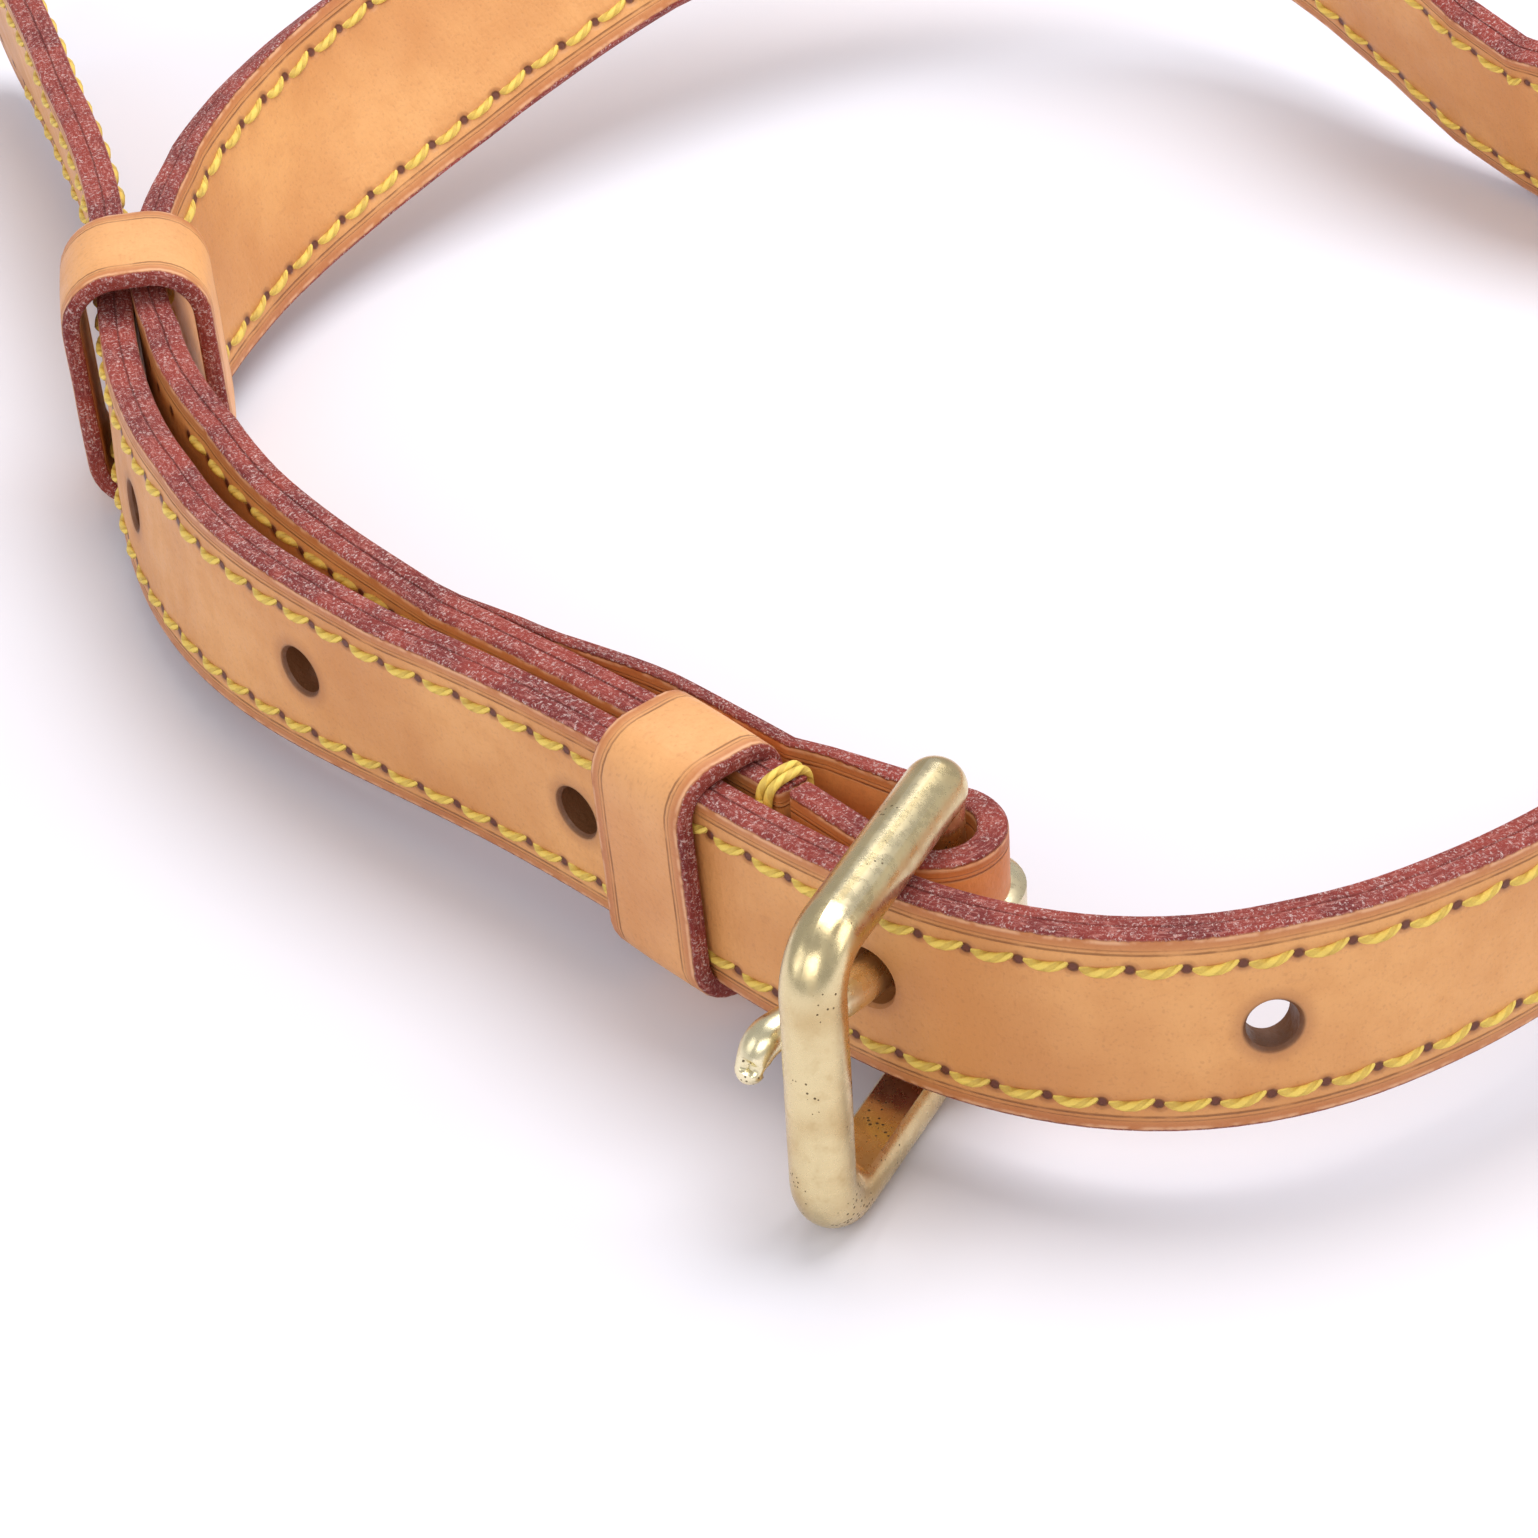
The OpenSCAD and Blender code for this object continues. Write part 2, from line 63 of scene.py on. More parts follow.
BILLET_RISE = [[-24, 2.2], [71, 2.2], [132, 4.4], [162, 5.2], [200, 6.8], [216, 7.2], [250, 4],
    [290, 0.6], [320, 0], [440, 0], [495, 4.3], [530, 4.3]]
BILLET_LEAN = [[-24, -9], [15, -9], [36, -3], [50, 0], [79, 2.4], [109, -6], [132, -2.6],
    [162, -0.3], [189, 2.5], [215, -3.7], [270, 0], [530, 0]]
BUCKLE_RISE = [[0, 5], [20, 4.4], [80, 2.2], [92, 2.3], [100, 2.6], [108, 3], [116, 3.8],
    [123, 4.7], [130, 6], [138, 7.6], [145, 9.3], [153, 10.9], [160, 12.2], [168, 13], [184, 13.8],
    [200, 12.6], [218, 8], [230, 5], [238, 2.2], [247, 0.5], [262, 0], [450, 0], [505, 4.3], [540, 4.3]]
BUCKLE_LEAN = [[0, 0.5], [14, 2.6], [36, 6], [68, -2], [84, 0], [92, 5], [107, 12.7], [115, 18.8],
    [123, 25.6], [130, 32.3], [138, 37.6], [145, 43], [168, 42], [190, 25], [205, 5], [218, -10],
    [230, -18], [247, -20], [275, -8], [310, 0], [540, 0]]
BUCKLE_WIDTH = [[0, 16], [60, 16], [110, 17.6], [400, 17.6], [460, 16], [540, 16]]


def look(table, u):
    if u <= table[0][0]:
        return table[0][1]
    for a, b in zip(table, table[1:]):
        if u <= b[0]:
            return a[1] + (b[1] - a[1]) * (u - a[0]) / (b[0] - a[0])
    return table[-1][1]


def plan(table, a, b, x, y):
    rows = []
    for u in range(a, b + 1):
        rows.append((x, y))
        h, k = math.radians(look(table, u)), math.radians(look(table, u + 1))
        x += (math.cos(h) + math.cos(k)) / 2
        y += (math.sin(h) + math.sin(k)) / 2
    return rows


def along(rows, a, u):
    i = min(max(int(math.floor(u - a)), 0), len(rows) - 2)
    f = u - a - i
    return tuple(rows[i][k] * (1 - f) + rows[i + 1][k] * f for k in (0, 1))


BILLET = plan(BILLET_HEADING, -24, 530, -65.65, 140.0)
LOOP = plan(BUCKLE_HEADING, 0, 540, 3.0, -7.5)
end = along(BILLET, -24, 505)
RX, RY = end[0] + 6, end[1] + THICK + 1.8
tail = along(LOOP, 0, 515)
for i in range(len(LOOP)):
    k = max(0.0, min(1.0, (i - 300) / 200))
    k = k * k * (3 - 2 * k)
    LOOP[i] = (LOOP[i][0] + (RX - 6 - tail[0]) * k, LOOP[i][1] + (RY + 1.8 - tail[1]) * k)


class Station:
    def __init__(self, x, y, z, heading, lean, slope):
        h, l, s = (math.radians(a) for a in (heading, lean, slope))
        self.p = Vector((x, y, z))
        self.run = Vector((math.cos(h) * math.cos(s), math.sin(h) * math.cos(s), math.sin(s)))
        side = Vector((-math.sin(h), math.cos(h), 0))
        up = Vector((-math.sin(s) * math.cos(h), -math.sin(s) * math.sin(h), math.cos(s)))
        self.wide = up * math.cos(l) + side * math.sin(l)
        self.deep = side * math.cos(l) - up * math.sin(l)

    def spot(self, v, b, run=0.0):
        return self.p + self.run * run + self.wide * v + self.deep * b


def billet_at(u):
    x, y = along(BILLET, -24, u)
    slope = math.degrees(math.atan((look(BILLET_RISE, u + 2) - look(BILLET_RISE, u - 2)) / 4))
    return Station(x, y, look(BILLET_RISE, u), look(BILLET_HEADING, u), look(BILLET_LEAN, u), slope)


def buckle_at(u):
    x, y = along(LOOP, 0, u)
    a, b = along(LOOP, 0, max(0, u - 1)), along(LOOP, 0, u + 1)
    slope = math.degrees(math.atan((look(BUCKLE_RISE, u + 2) - look(BUCKLE_RISE, max(0, u - 2))) / 4))
    heading = math.degrees(math.atan2(b[1] - a[1], b[0] - a[0]))
    return Station(x, y, look(BUCKLE_RISE, u), heading, look(BUCKLE_LEAN, u), slope)


def metres(p):
    return Vector(((p[0] - OX) * MM, (p[1] - OY) * MM, p[2] * MM))


def keep(bm, name, body, nodes, material, sharp=32):
    bmesh.ops.recalc_face_normals(bm, faces=bm.faces)
    mesh = bpy.data.meshes.new(name)
    bm.to_mesh(mesh)
    bm.free()
    for f in mesh.polygons:
        f.use_smooth = True
    mesh.set_sharp_from_angle(angle=math.radians(sharp))
    ob = bpy.data.objects.new(name, mesh)
    bpy.context.scene.collection.objects.link(ob)
    mesh.materials.append(material)
    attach(ob, body)
    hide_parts(*nodes)
    return ob


# ---------------------------------------------------------------- materials
def lin(r, g, b):
    def one(c):
        c /= 255
        return c / 12.92 if c <= 0.04045 else ((c + 0.055) / 1.055) ** 2.4
    return (one(r), one(g), one(b), 1.0)


class Net:
    def __init__(self, tree):
        self.tree = tree

    def node(self, kind, ins=None, **props):
        n = self.tree.nodes.new(kind)
        for k, v in props.items():
            setattr(n, k, v)
        for k, v in (ins or {}).items():
            if isinstance(v, bpy.types.NodeSocket):
                self.tree.links.new(v, n.inputs[k])
            else:
                n.inputs[k].default_value = v
        return n

    def calc(self, op, a, b=0.0, clamp=False):
        n = self.node("ShaderNodeMath", {0: a, 1: b}, operation=op, use_clamp=clamp)
        return n.outputs[0]

    def band(self, v, lo, hi, a=0.0, b=1.0):
        n = self.node("ShaderNodeMapRange", {"Value": v, "From Min": lo, "From Max": hi,
                      "To Min": a, "To Max": b}, interpolation_type="SMOOTHSTEP")
        return n.outputs["Result"]

    def line(self, v, centre, half):
        d = self.calc("ABSOLUTE", self.calc("SUBTRACT", v, centre))
        return self.band(d, half, 0.0)

    def mix(self, f, a, b, kind="MIX"):
        n = self.tree.nodes.new("ShaderNodeMix")
        n.data_type = "RGBA"
        n.blend_type = kind
        n.clamp_factor = True
        for i, v in ((0, f), (6, a), (7, b)):
            if isinstance(v, bpy.types.NodeSocket):
                self.tree.links.new(v, n.inputs[i])
            else:
                n.inputs[i].default_value = v
        return n.outputs[2]

    def noise(self, vec, scale, detail=2.0, rough=0.5):
        n = self.node("ShaderNodeTexNoise", {"Vector": vec, "Scale": scale, "Detail": detail, "Roughness": rough})
        return n.outputs["Fac"]

    def stretch(self, vec, s):
        return self.node("ShaderNodeMapping", {"Vector": vec, "Scale": s}).outputs["Vector"]


def group(name, inputs, outputs):
    g = bpy.data.node_groups.new(name, "ShaderNodeTree")
    for n, kind, value in inputs:
        s = g.interface.new_socket(name=n, in_out="INPUT", socket_type=kind)
        s.default_value = value
    for n, kind in outputs:
        g.interface.new_socket(name=n, in_out="OUTPUT", socket_type=kind)
    net = Net(g)
    return g, net, net.node("NodeGroupInput"), net.node("NodeGroupOutput")


def leather_group():
    """Smooth grain side, creased and needle-marked border, painted fibrous edge."""
    g, n, gi, go = group("stitched_leather",
        [("Light", "NodeSocketColor", lin(226, 164, 100)), ("Deep", "NodeSocketColor", lin(204, 138, 78)),
         ("Rim Colour", "NodeSocketColor", lin(172, 66, 54)), ("Stitched", "NodeSocketFloat", 1.0),
         ("Low Phase", "NodeSocketFloat", 0.0), ("High Phase", "NodeSocketFloat", 0.0),
         ("Holes", "NodeSocketFloat", 0.0), ("Crease", "NodeSocketFloat", 1.38)],
        [("Color", "NodeSocketColor"), ("Roughness", "NodeSocketFloat"), ("Normal", "NodeSocketVector")])
    lay = n.node("ShaderNodeSeparateXYZ", {0: n.node("ShaderNodeUVMap", uv_map="lay").outputs[0]})
    rim = n.node("ShaderNodeSeparateXYZ", {0: n.node("ShaderNodeUVMap", uv_map="rim").outputs[0]})
    u, v, ed, b = lay.outputs[0], lay.outputs[1], rim.outputs[0], rim.outputs[1]
    at = n.node("ShaderNodeCombineXYZ", {0: u, 1: v, 2: b}).outputs[0]
    big = n.noise(at, 0.05, 3)
    mid = n.noise(at, 0.35, 5, 0.6)
    fine = n.noise(at, 3.2, 4, 0.6)
    pores = n.node("ShaderNodeTexVoronoi", {"Vector": at, "Scale": 2.6, "Randomness": 1.0},
                   feature="SMOOTH_F1").outputs["Distance"]
    folds = n.noise(n.stretch(at, (1.6, 0.35, 1.0)), 0.9, 5, 0.65)
    marks = n.band(n.noise(n.stretch(at, (0.8, 2.2, 1.0)), 0.5, 2), 0.66, 0.74)
    col = n.mix(n.band(big, 0.35, 0.68), gi.outputs["Light"], gi.outputs["Deep"])
    col = n.mix(n.calc("MULTIPLY", n.band(mid, 0.42, 0.72), 0.32), col, gi.outputs["Deep"])
    col = n.mix(n.calc("MULTIPLY", n.band(fine, 0.5, 0.75), 0.16), col, lin(150, 92, 52))
    col = n.mix(n.calc("MULTIPLY", n.band(pores, 0.28, 0.05), 0.16), col, lin(146, 88, 50))
    col = n.mix(n.calc("MULTIPLY", marks, 0.12), col, lin(160, 98, 58))
    # border, double crease and the row of needle holes
    col = n.mix(n.band(ed, 1.7, 0.5, 0.0, 0.62), col, lin(170, 90, 48))
    crease = n.line(ed, gi.outputs["Crease"], 0.13)
    second = n.line(ed, n.calc("SUBTRACT", gi.outputs["Crease"], 0.34), 0.08)
    worn = n.band(n.noise(at, 0.5, 2), 0.3, 0.55, 0.45, 1.0)
    cr = n.calc("MULTIPLY", n.calc("MAXIMUM", crease, n.calc("MULTIPLY", second, 0.45)), worn)
    col = n.mix(n.calc("MULTIPLY", cr, 0.62), col, lin(116, 62, 36))
    high = n.calc("GREATER_THAN", v, 8.4)
    ph = n.calc("ADD", n.calc("MULTIPLY", gi.outputs["High Phase"], high),
                n.calc("MULTIPLY", gi.outputs["Low Phase"], n.calc("SUBTRACT", 1.0, high)))
    t = n.calc("SUBTRACT", n.calc("DIVIDE", u, PITCH), ph)
    f = n.calc("SUBTRACT", n.calc("FRACT", n.calc("ADD", t, 0.5)), 0.5)
    dx = n.calc("MULTIPLY", f, PITCH)
    dy = n.calc("SUBTRACT", ed, INSET)
    r = n.calc("SQRT", n.calc("ADD", n.calc("MULTIPLY", dx, dx), n.calc("MULTIPLY", n.calc("MULTIPLY", dy, dy), 1.3)))
    on = gi.outputs["Stitched"]
    prick = n.calc("MULTIPLY", n.band(r, 0.5, 0.26), on)
    halo = n.calc("MULTIPLY", n.band(r, 0.9, 0.35), on)
    # darker in a band along the stitch row
    stitch_row_darkening = n.calc("MULTIPLY", n.line(ed, INSET, 0.95), on)
    col = n.mix(n.calc("MULTIPLY", stitch_row_darkening, 0.2), col, lin(150, 84, 46))
    col = n.mix(n.calc("MULTIPLY", halo, 0.42), col, lin(140, 62, 30))
    col = n.mix(n.calc("MULTIPLY", prick, 0.9), col, lin(84, 30, 18))
    # punched holes: darker ring outside, partly burnished leather and partly painted shade of the rounded rim; dark
    # wall inside
    hf = n.calc("FRACT", n.calc("ADD", n.calc("DIVIDE", n.calc("SUBTRACT", u, HOLE0), HOLE_STEP), 0.5))
    hx = n.calc("MULTIPLY", n.calc("SUBTRACT", hf, 0.5), HOLE_STEP)
    hy = n.calc("SUBTRACT", v, 8.0)
    hr = n.calc("SQRT", n.calc("ADD", n.calc("MULTIPLY", hx, hx), n.calc("MULTIPLY", hy, hy)))
    span = n.calc("MULTIPLY", n.calc("MULTIPLY", n.calc("GREATER_THAN", u, 60.0), n.calc("LESS_THAN", u, 196.0)),
                  gi.outputs["Holes"])
    # ring mask: partly burnished leather, partly painted shade of the hole's rim
    ring = n.calc("MULTIPLY", n.band(hr, 3.5, 2.1), span)
    wall = n.calc("MULTIPLY", n.band(hr, 2.36, 1.98), span)
    col = n.mix(n.calc("MULTIPLY", ring, 0.4), col, lin(140, 82, 48))
    col = n.mix(n.calc("MULTIPLY", wall, 0.8), col, lin(74, 36, 22))
    # pale rounded arris, then the painted edge with its ply line and raised fibres
    arris = n.calc("MULTIPLY", n.line(ed, 0.42, 0.26), n.band(n.noise(at, 0.8, 3), 0.35, 0.6))
    col = n.mix(n.calc("MULTIPLY", arris, 0.55), col, lin(240, 190, 148))
    ragged = n.calc("ADD", ed, n.calc("MULTIPLY", n.calc("SUBTRACT", n.noise(at, 2.2, 4), 0.5), 0.26))
    edge = n.band(ragged, 0.34, 0.18)
    strands = n.noise(n.stretch(at, (0.55, 1.0, 2.6)), 2.4, 6, 0.72)
    fluff = n.noise(n.stretch(at, (1.5, 1.0, 1.1)), 3.4, 6, 0.75)
    rimc = n.mix(n.band(n.noise(at, 0.22, 4), 0.38, 0.66), gi.outputs["Rim Colour"], lin(134, 44, 42))
    rimc = n.mix(n.calc("MULTIPLY", n.band(strands, 0.5, 0.64), 0.6), rimc, lin(228, 150, 138))
    rimc = n.mix(n.calc("MULTIPLY", n.band(fluff, 0.53, 0.64), 0.8), rimc, lin(250, 222, 216))
    rimc = n.mix(n.calc("MULTIPLY", n.band(fluff, 0.42, 0.3), 0.45), rimc, lin(104, 30, 26))
    rimc = n.mix(n.calc("MULTIPLY", n.line(b, n.calc("ADD", 1.4, n.calc("MULTIPLY",
                 n.calc("SUBTRACT", mid, 0.5), 0.3)), 0.14), 0.6), rimc, lin(96, 32, 28))
    col = n.mix(edge, col, rimc)
    rough = n.calc("ADD", n.band(mid, 0.3, 0.7, 0.42, 0.56), n.calc("MULTIPLY", n.calc("MAXIMUM", edge, cr), 0.25))
    h = n.calc("ADD", n.calc("MULTIPLY", pores, 0.035), n.calc("MULTIPLY", fine, 0.03))
    h = n.calc("ADD", h, n.calc("MULTIPLY", folds, 0.10))
    h = n.calc("SUBTRACT", h, n.calc("MULTIPLY", cr, 0.12))
    h = n.calc("SUBTRACT", h, n.calc("MULTIPLY", n.calc("ADD", n.calc("MULTIPLY", halo, 0.25), n.calc("MULTIPLY", prick, 0.4)), 0.6))
    h = n.calc("SUBTRACT", h, n.calc("MULTIPLY", n.calc("MULTIPLY", n.line(ed, INSET, 1.0), on), 0.06))
    he = n.calc("ADD", n.calc("MULTIPLY", strands, 0.32), n.calc("MULTIPLY", fluff, 0.28))
    he = n.calc("SUBTRACT", he, n.calc("MULTIPLY", n.line(b, 1.4, 0.18), 0.15))
    hh = n.calc("ADD", n.calc("MULTIPLY", h, n.calc("SUBTRACT", 1.0, edge)), n.calc("MULTIPLY", he, edge))
    bump = n.node("ShaderNodeBump", {"Height": hh, "Distance": MM, "Strength": 0.9})
    n.tree.links.new(col, go.inputs["Color"])
    n.tree.links.new(rough, go.inputs["Roughness"])
    n.tree.links.new(bump.outputs[0], go.inputs["Normal"])
    return g


def brass_group():
    """Worn cast brass: pale polish, brown tarnish in patches, small dark pits, fine scratches."""
    g, n, gi, go = group("worn_brass",
        [("Bright", "NodeSocketColor", lin(222, 203, 156)), ("Tarnish", "NodeSocketColor", lin(184, 150, 96))],
        [("Color", "NodeSocketColor"), ("Roughness", "NodeSocketFloat"), ("Normal", "NodeSocketVector")])
    co = n.node("ShaderNodeTexCoord").outputs["Object"]
    big = n.noise(co, 160, 3)
    mid = n.noise(co, 900, 5, 0.62)
    fine = n.noise(co, 5200, 4, 0.6)
    scratch = n.noise(n.stretch(co, (1.0, 1.0, 0.07)), 9000, 2)
    cell = n.node("ShaderNodeTexVoronoi", {"Vector": co, "Scale": 2300.0}, feature="F1")
    low = n.band(n.node("ShaderNodeSeparateXYZ", {0: co}).outputs[2], 0.016, 0.003, 0.0, 0.10)
    pick = n.band(n.calc("ADD", n.noise(co, 240, 2), low), 0.52, 0.74, 0.0, 0.30)
    pit = n.calc("LESS_THAN", cell.outputs["Distance"], n.calc("MULTIPLY", pick, 0.9))
    edge = n.band(n.node("ShaderNodeNewGeometry").outputs["Pointiness"], 0.5, 0.57)
    col = n.mix(n.band(big, 0.42, 0.72, 0.0, 0.6), gi.outputs["Bright"], gi.outputs["Tarnish"])
    col = n.mix(n.calc("MULTIPLY", n.band(mid, 0.5, 0.75), 0.35), col, gi.outputs["Tarnish"])
    col = n.mix(n.calc("MULTIPLY", edge, 0.5), col, lin(246, 234, 200))
    col = n.mix(n.calc("MULTIPLY", pit, 0.78), col, lin(66, 44, 26))
    rough = n.calc("ADD", n.band(mid, 0.3, 0.72, 0.22, 0.36), n.calc("MULTIPLY", pit, 0.35))
    h = n.calc("ADD", n.calc("MULTIPLY", mid, 0.012), n.calc("MULTIPLY", fine, 0.006))
    h = n.calc("ADD", h, n.calc("MULTIPLY", scratch, 0.004))
    h = n.calc("SUBTRACT", h, n.calc("MULTIPLY", pit, 0.06))
    bump = n.node("ShaderNodeBump", {"Height": h, "Distance": MM, "Strength": 0.8})
    n.tree.links.new(col, go.inputs["Color"])
    n.tree.links.new(rough, go.inputs["Roughness"])
    n.tree.links.new(bump.outputs[0], go.inputs["Normal"])
    return g


def thread_group():
    """Waxed two-strand thread, twisted, with painted shade in the grooves between strands and a little dirt."""
    g, n, gi, go = group("waxed_thread",
        [("Light", "NodeSocketColor", lin(242, 210, 100)), ("Deep", "NodeSocketColor", lin(216, 172, 68))],
        [("Color", "NodeSocketColor"), ("Roughness", "NodeSocketFloat"), ("Normal", "NodeSocketVector")])
    tw = n.node("ShaderNodeSeparateXYZ", {0: n.node("ShaderNodeUVMap", uv_map="twist").outputs[0]})
    x, a = tw.outputs[0], tw.outputs[1]
    wave = n.calc("SINE", n.calc("MULTIPLY", n.calc("ADD", n.calc("MULTIPLY", x, 0.62), n.calc("MULTIPLY", a, 2.0)), math.tau))
    strand = n.band(wave, -1.0, 0.3)
    fibre = n.noise(n.node("ShaderNodeCombineXYZ", {0: n.calc("MULTIPLY", x, 2.0),
                    1: n.calc("MULTIPLY", n.calc("ADD", n.calc("MULTIPLY", x, 0.62), n.calc("MULTIPLY", a, 2.0)), 5.0)}).outputs[0], 3.0, 4, 0.7)
    dirt = n.noise(n.node("ShaderNodeTexCoord").outputs["Object"], 420, 4)
    col = n.mix(n.calc("MULTIPLY", n.band(fibre, 0.45, 0.7), 0.45), gi.outputs["Light"], gi.outputs["Deep"])
    # painted shade: darker where the strand mask is low, in the grooves between the twisted strands
    col = n.mix(n.band(strand, 1.0, 0.0, 0.0, 0.32), col, lin(160, 112, 40))
    col = n.mix(n.band(dirt, 0.5, 0.75, 0.0, 0.3), col, lin(176, 128, 62))
    h = n.calc("ADD", n.calc("MULTIPLY", strand, 0.10), n.calc("MULTIPLY", fibre, 0.04))
    bump = n.node("ShaderNodeBump", {"Height": h, "Distance": MM, "Strength": 0.9})
    rough = n.band(fibre, 0.3, 0.7, 0.42, 0.62)
    n.tree.links.new(col, go.inputs["Color"])
    n.tree.links.new(rough, go.inputs["Roughness"])
    n.tree.links.new(bump.outputs[0], go.inputs["Normal"])
    return g


LEATHER, BRASS, THREAD = leather_group(), brass_group(), thread_group()


def material(name, tree, values=None, **shader):
    m = bpy.data.materials.new(name)
    m.use_nodes = True
    t = m.node_tree
    b = t.nodes["Principled BSDF"]
    g = t.nodes.new("ShaderNodeGroup")
    g.node_tree = tree
    for k, v in (values or {}).items():
        g.inputs[k].default_value = v
    t.links.new(g.outputs["Color"], b.inputs["Base Color"])
    t.links.new(g.outputs["Roughness"], b.inputs["Roughness"])
    t.links.new(g.outputs["Normal"], b.inputs["Normal"])
    for k, v in shader.items():
        b.inputs[k.replace("_", " ")].default_value = v
    return m


HIGH_PHASE = (86.6 / PITCH) % 1
LOW_PHASE = (HIGH_PHASE - 0.642) % 1
LOOP_HIGH = (100 / PITCH + 0.42) % 1
LOOP_LOW = (100 / PITCH + 0.71) % 1
skin = {"Coat_Weight": 0.06, "Coat_Roughness": 0.35, "Specular_IOR_Level": 0.42}
billet_leather = material("billet_leather", LEATHER, {"Holes": 1.0, "High Phase": HIGH_PHASE, "Low Phase": LOW_PHASE}, **skin)
loop_leather = material("loop_leather", LEATHER, {"High Phase": LOOP_HIGH, "Low Phase": LOOP_LOW}, **skin)
turn_leather = material("turn_leather", LEATHER, {"Stitched": 0.0, "Light": lin(224, 150, 88), "Deep": lin(200, 120, 66)}, **skin)
keeper_leather = material("keeper_leather", LEATHER, {"Stitched": 0.0, "Rim Colour": lin(158, 56, 40), "Crease": 1.5,
                          "Light": lin(231, 170, 110), "Deep": lin(208, 142, 86)}, **skin)
brass = material("worn_brass_metal", BRASS, Metallic=1.0)
# the tongue's copy of the brass is paler: painted light, a brighter base colour so the tongue reads as lit
tongue_painted_bright_brass = material("tongue_painted_bright_brass_metal", BRASS, {"Bright": lin(240, 228, 188)}, Metallic=1.0)
thread = material("waxed_yellow_thread", THREAD, Specular_IOR_Level=0.4)


# ---------------------------------------------------------------- strap plies
def slab(length, width, low, high, outer, reach=0.42):
    """Straight bar from the origin along X; the long edges on the outer side are rounded."""
    bm = bmesh.new()
    bmesh.ops.create_cube(bm, size=1)
    bmesh.ops.scale(bm, vec=(length, width, high - low), verts=bm.verts)
    bmesh.ops.translate(bm, vec=(length / 2, width / 2, (low + high) / 2), verts=bm.verts)
    def on(e, z):
        return all(abs(v.co.z - z) < 1e-5 for v in e.verts)
    round_at = {"low": (low,), "high": (high,), "both": (low, high)}[outer]
    for z in (low, high):
        big = z in round_at
        bmesh.ops.bevel(bm, geom=[e for e in bm.edges if on(e, z)], offset=reach if big else 0.09,
                        segments=4 if big else 1, profile=0.5, affect="EDGES", material=-1)
    return bm


def cut(bm, axis, places):
    no = Vector([1.0 if i == axis else 0.0 for i in range(3)])
    for p in places:
        bmesh.ops.bisect_plane(bm, geom=bm.verts[:] + bm.edges[:] + bm.faces[:], dist=1e-6,
                               plane_co=no * p, plane_no=no)


def bored(bm, cutter):
    """The bar with the cutter's closed shapes taken away."""
    made = []
    for name, b in (("bar_work", bm), ("cutter_work", cutter)):
        bmesh.ops.recalc_face_normals(b, faces=b.faces)
        me = bpy.data.meshes.new(name)
        b.to_mesh(me)
        b.free()
        ob = bpy.data.objects.new(name, me)
        bpy.context.scene.collection.objects.link(ob)
        made.append(ob)
    m = made[0].modifiers.new("bore", "BOOLEAN")
    m.operation, m.solver, m.object = "DIFFERENCE", "EXACT", made[1]
    bpy.context.view_layer.update()
    me = bpy.data.meshes.new_from_object(made[0].evaluated_get(bpy.context.evaluated_depsgraph_get()))
    out = bmesh.new()
    out.from_mesh(me)
    for o in made:
        bpy.data.objects.remove(o)
    return out


def lathe(points, centre):
    """Closed solid of revolution round the Z line through centre; points are radius and height."""
    bm = bmesh.new()
    vs = [bm.verts.new((centre[0] + r, centre[1], z)) for r, z in points]
    es = [bm.edges.new(p) for p in zip(vs, vs[1:])]
    bmesh.ops.spin(bm, geom=vs + es, cent=(centre[0], centre[1], 0), axis=(0, 0, 1), angle=math.tau,
                   steps=40, use_merge=True)
    bmesh.ops.remove_doubles(bm, verts=bm.verts, dist=1e-5)
    return bm


def punch(width, u0):
    bm = bmesh.new()
    for k in range(-3, 2):
        r = 2.25 if k == 0 else 1.9
        one = lathe([(0, -1), (r + 1.2, -1), (r + 0.25, -0.02), (r, 0.3), (r, 2.5), (r + 0.25, 2.82),
                     (r + 1.2, 3.8), (0, 3.8)], (HOLE0 + k * HOLE_STEP - u0, width / 2))
        me = bpy.data.meshes.new("punch_work")
        one.to_mesh(me)
        one.free()
        bm.from_mesh(me)
    return bm


def marked(bm, wide_at, u0, width):
    """Writes the lengthwise and edge-distance maps from the straight positions."""
    lay, rim = bm.loops.layers.uv.new("lay"), bm.loops.layers.uv.new("rim")
    for f in bm.faces:
        for l in f.loops:
            x, y, z = l.vert.co
            w = wide_at(x + u0)
            l[lay].uv = (x + u0, y * w / width)
            l[rim].uv = (min(y, width - y) * w / width, z)


def tip_cut(u):
    return 0.9 * (8 - math.sqrt(max(0.0, 64 - (-14 - u) ** 2))) if u < -14 else 0.0


def bend(bm, station, u0, width, wide_at, trim=None):
    cache = {}
    for v in bm.verts:
        key = round(v.co.x, 4)
        if key not in cache:
            cache[key] = station(v.co.x + u0)
        w, c = wide_at(v.co.x + u0), (trim(v.co.x + u0) if trim else 0.0)
        v.co = metres(cache[key].spot(c + v.co.y / width * (w - 2 * c), v.co.z))


def strap_ply(name, station, u0, u1, low, high, outer, wide_at, mat, body, nodes, trim=None, holes=False):
    bm = slab(u1 - u0, W, low, high, outer)
    steps = [u for u in range(int(u0) + 1, int(u1)) if u % 2 == 0 or u < 10]
    cut(bm, 0, [s - u0 for s in steps])
    cut(bm, 1, [W / 2, W / 2 - 1, W / 2 + 1, 4, 12])
    if holes:
        bm = bored(bm, punch(W, u0))
    marked(bm, wide_at, u0, W)
    bend(bm, station, u0, W, wide_at, trim)
    return keep(bm, name, body, nodes, mat)


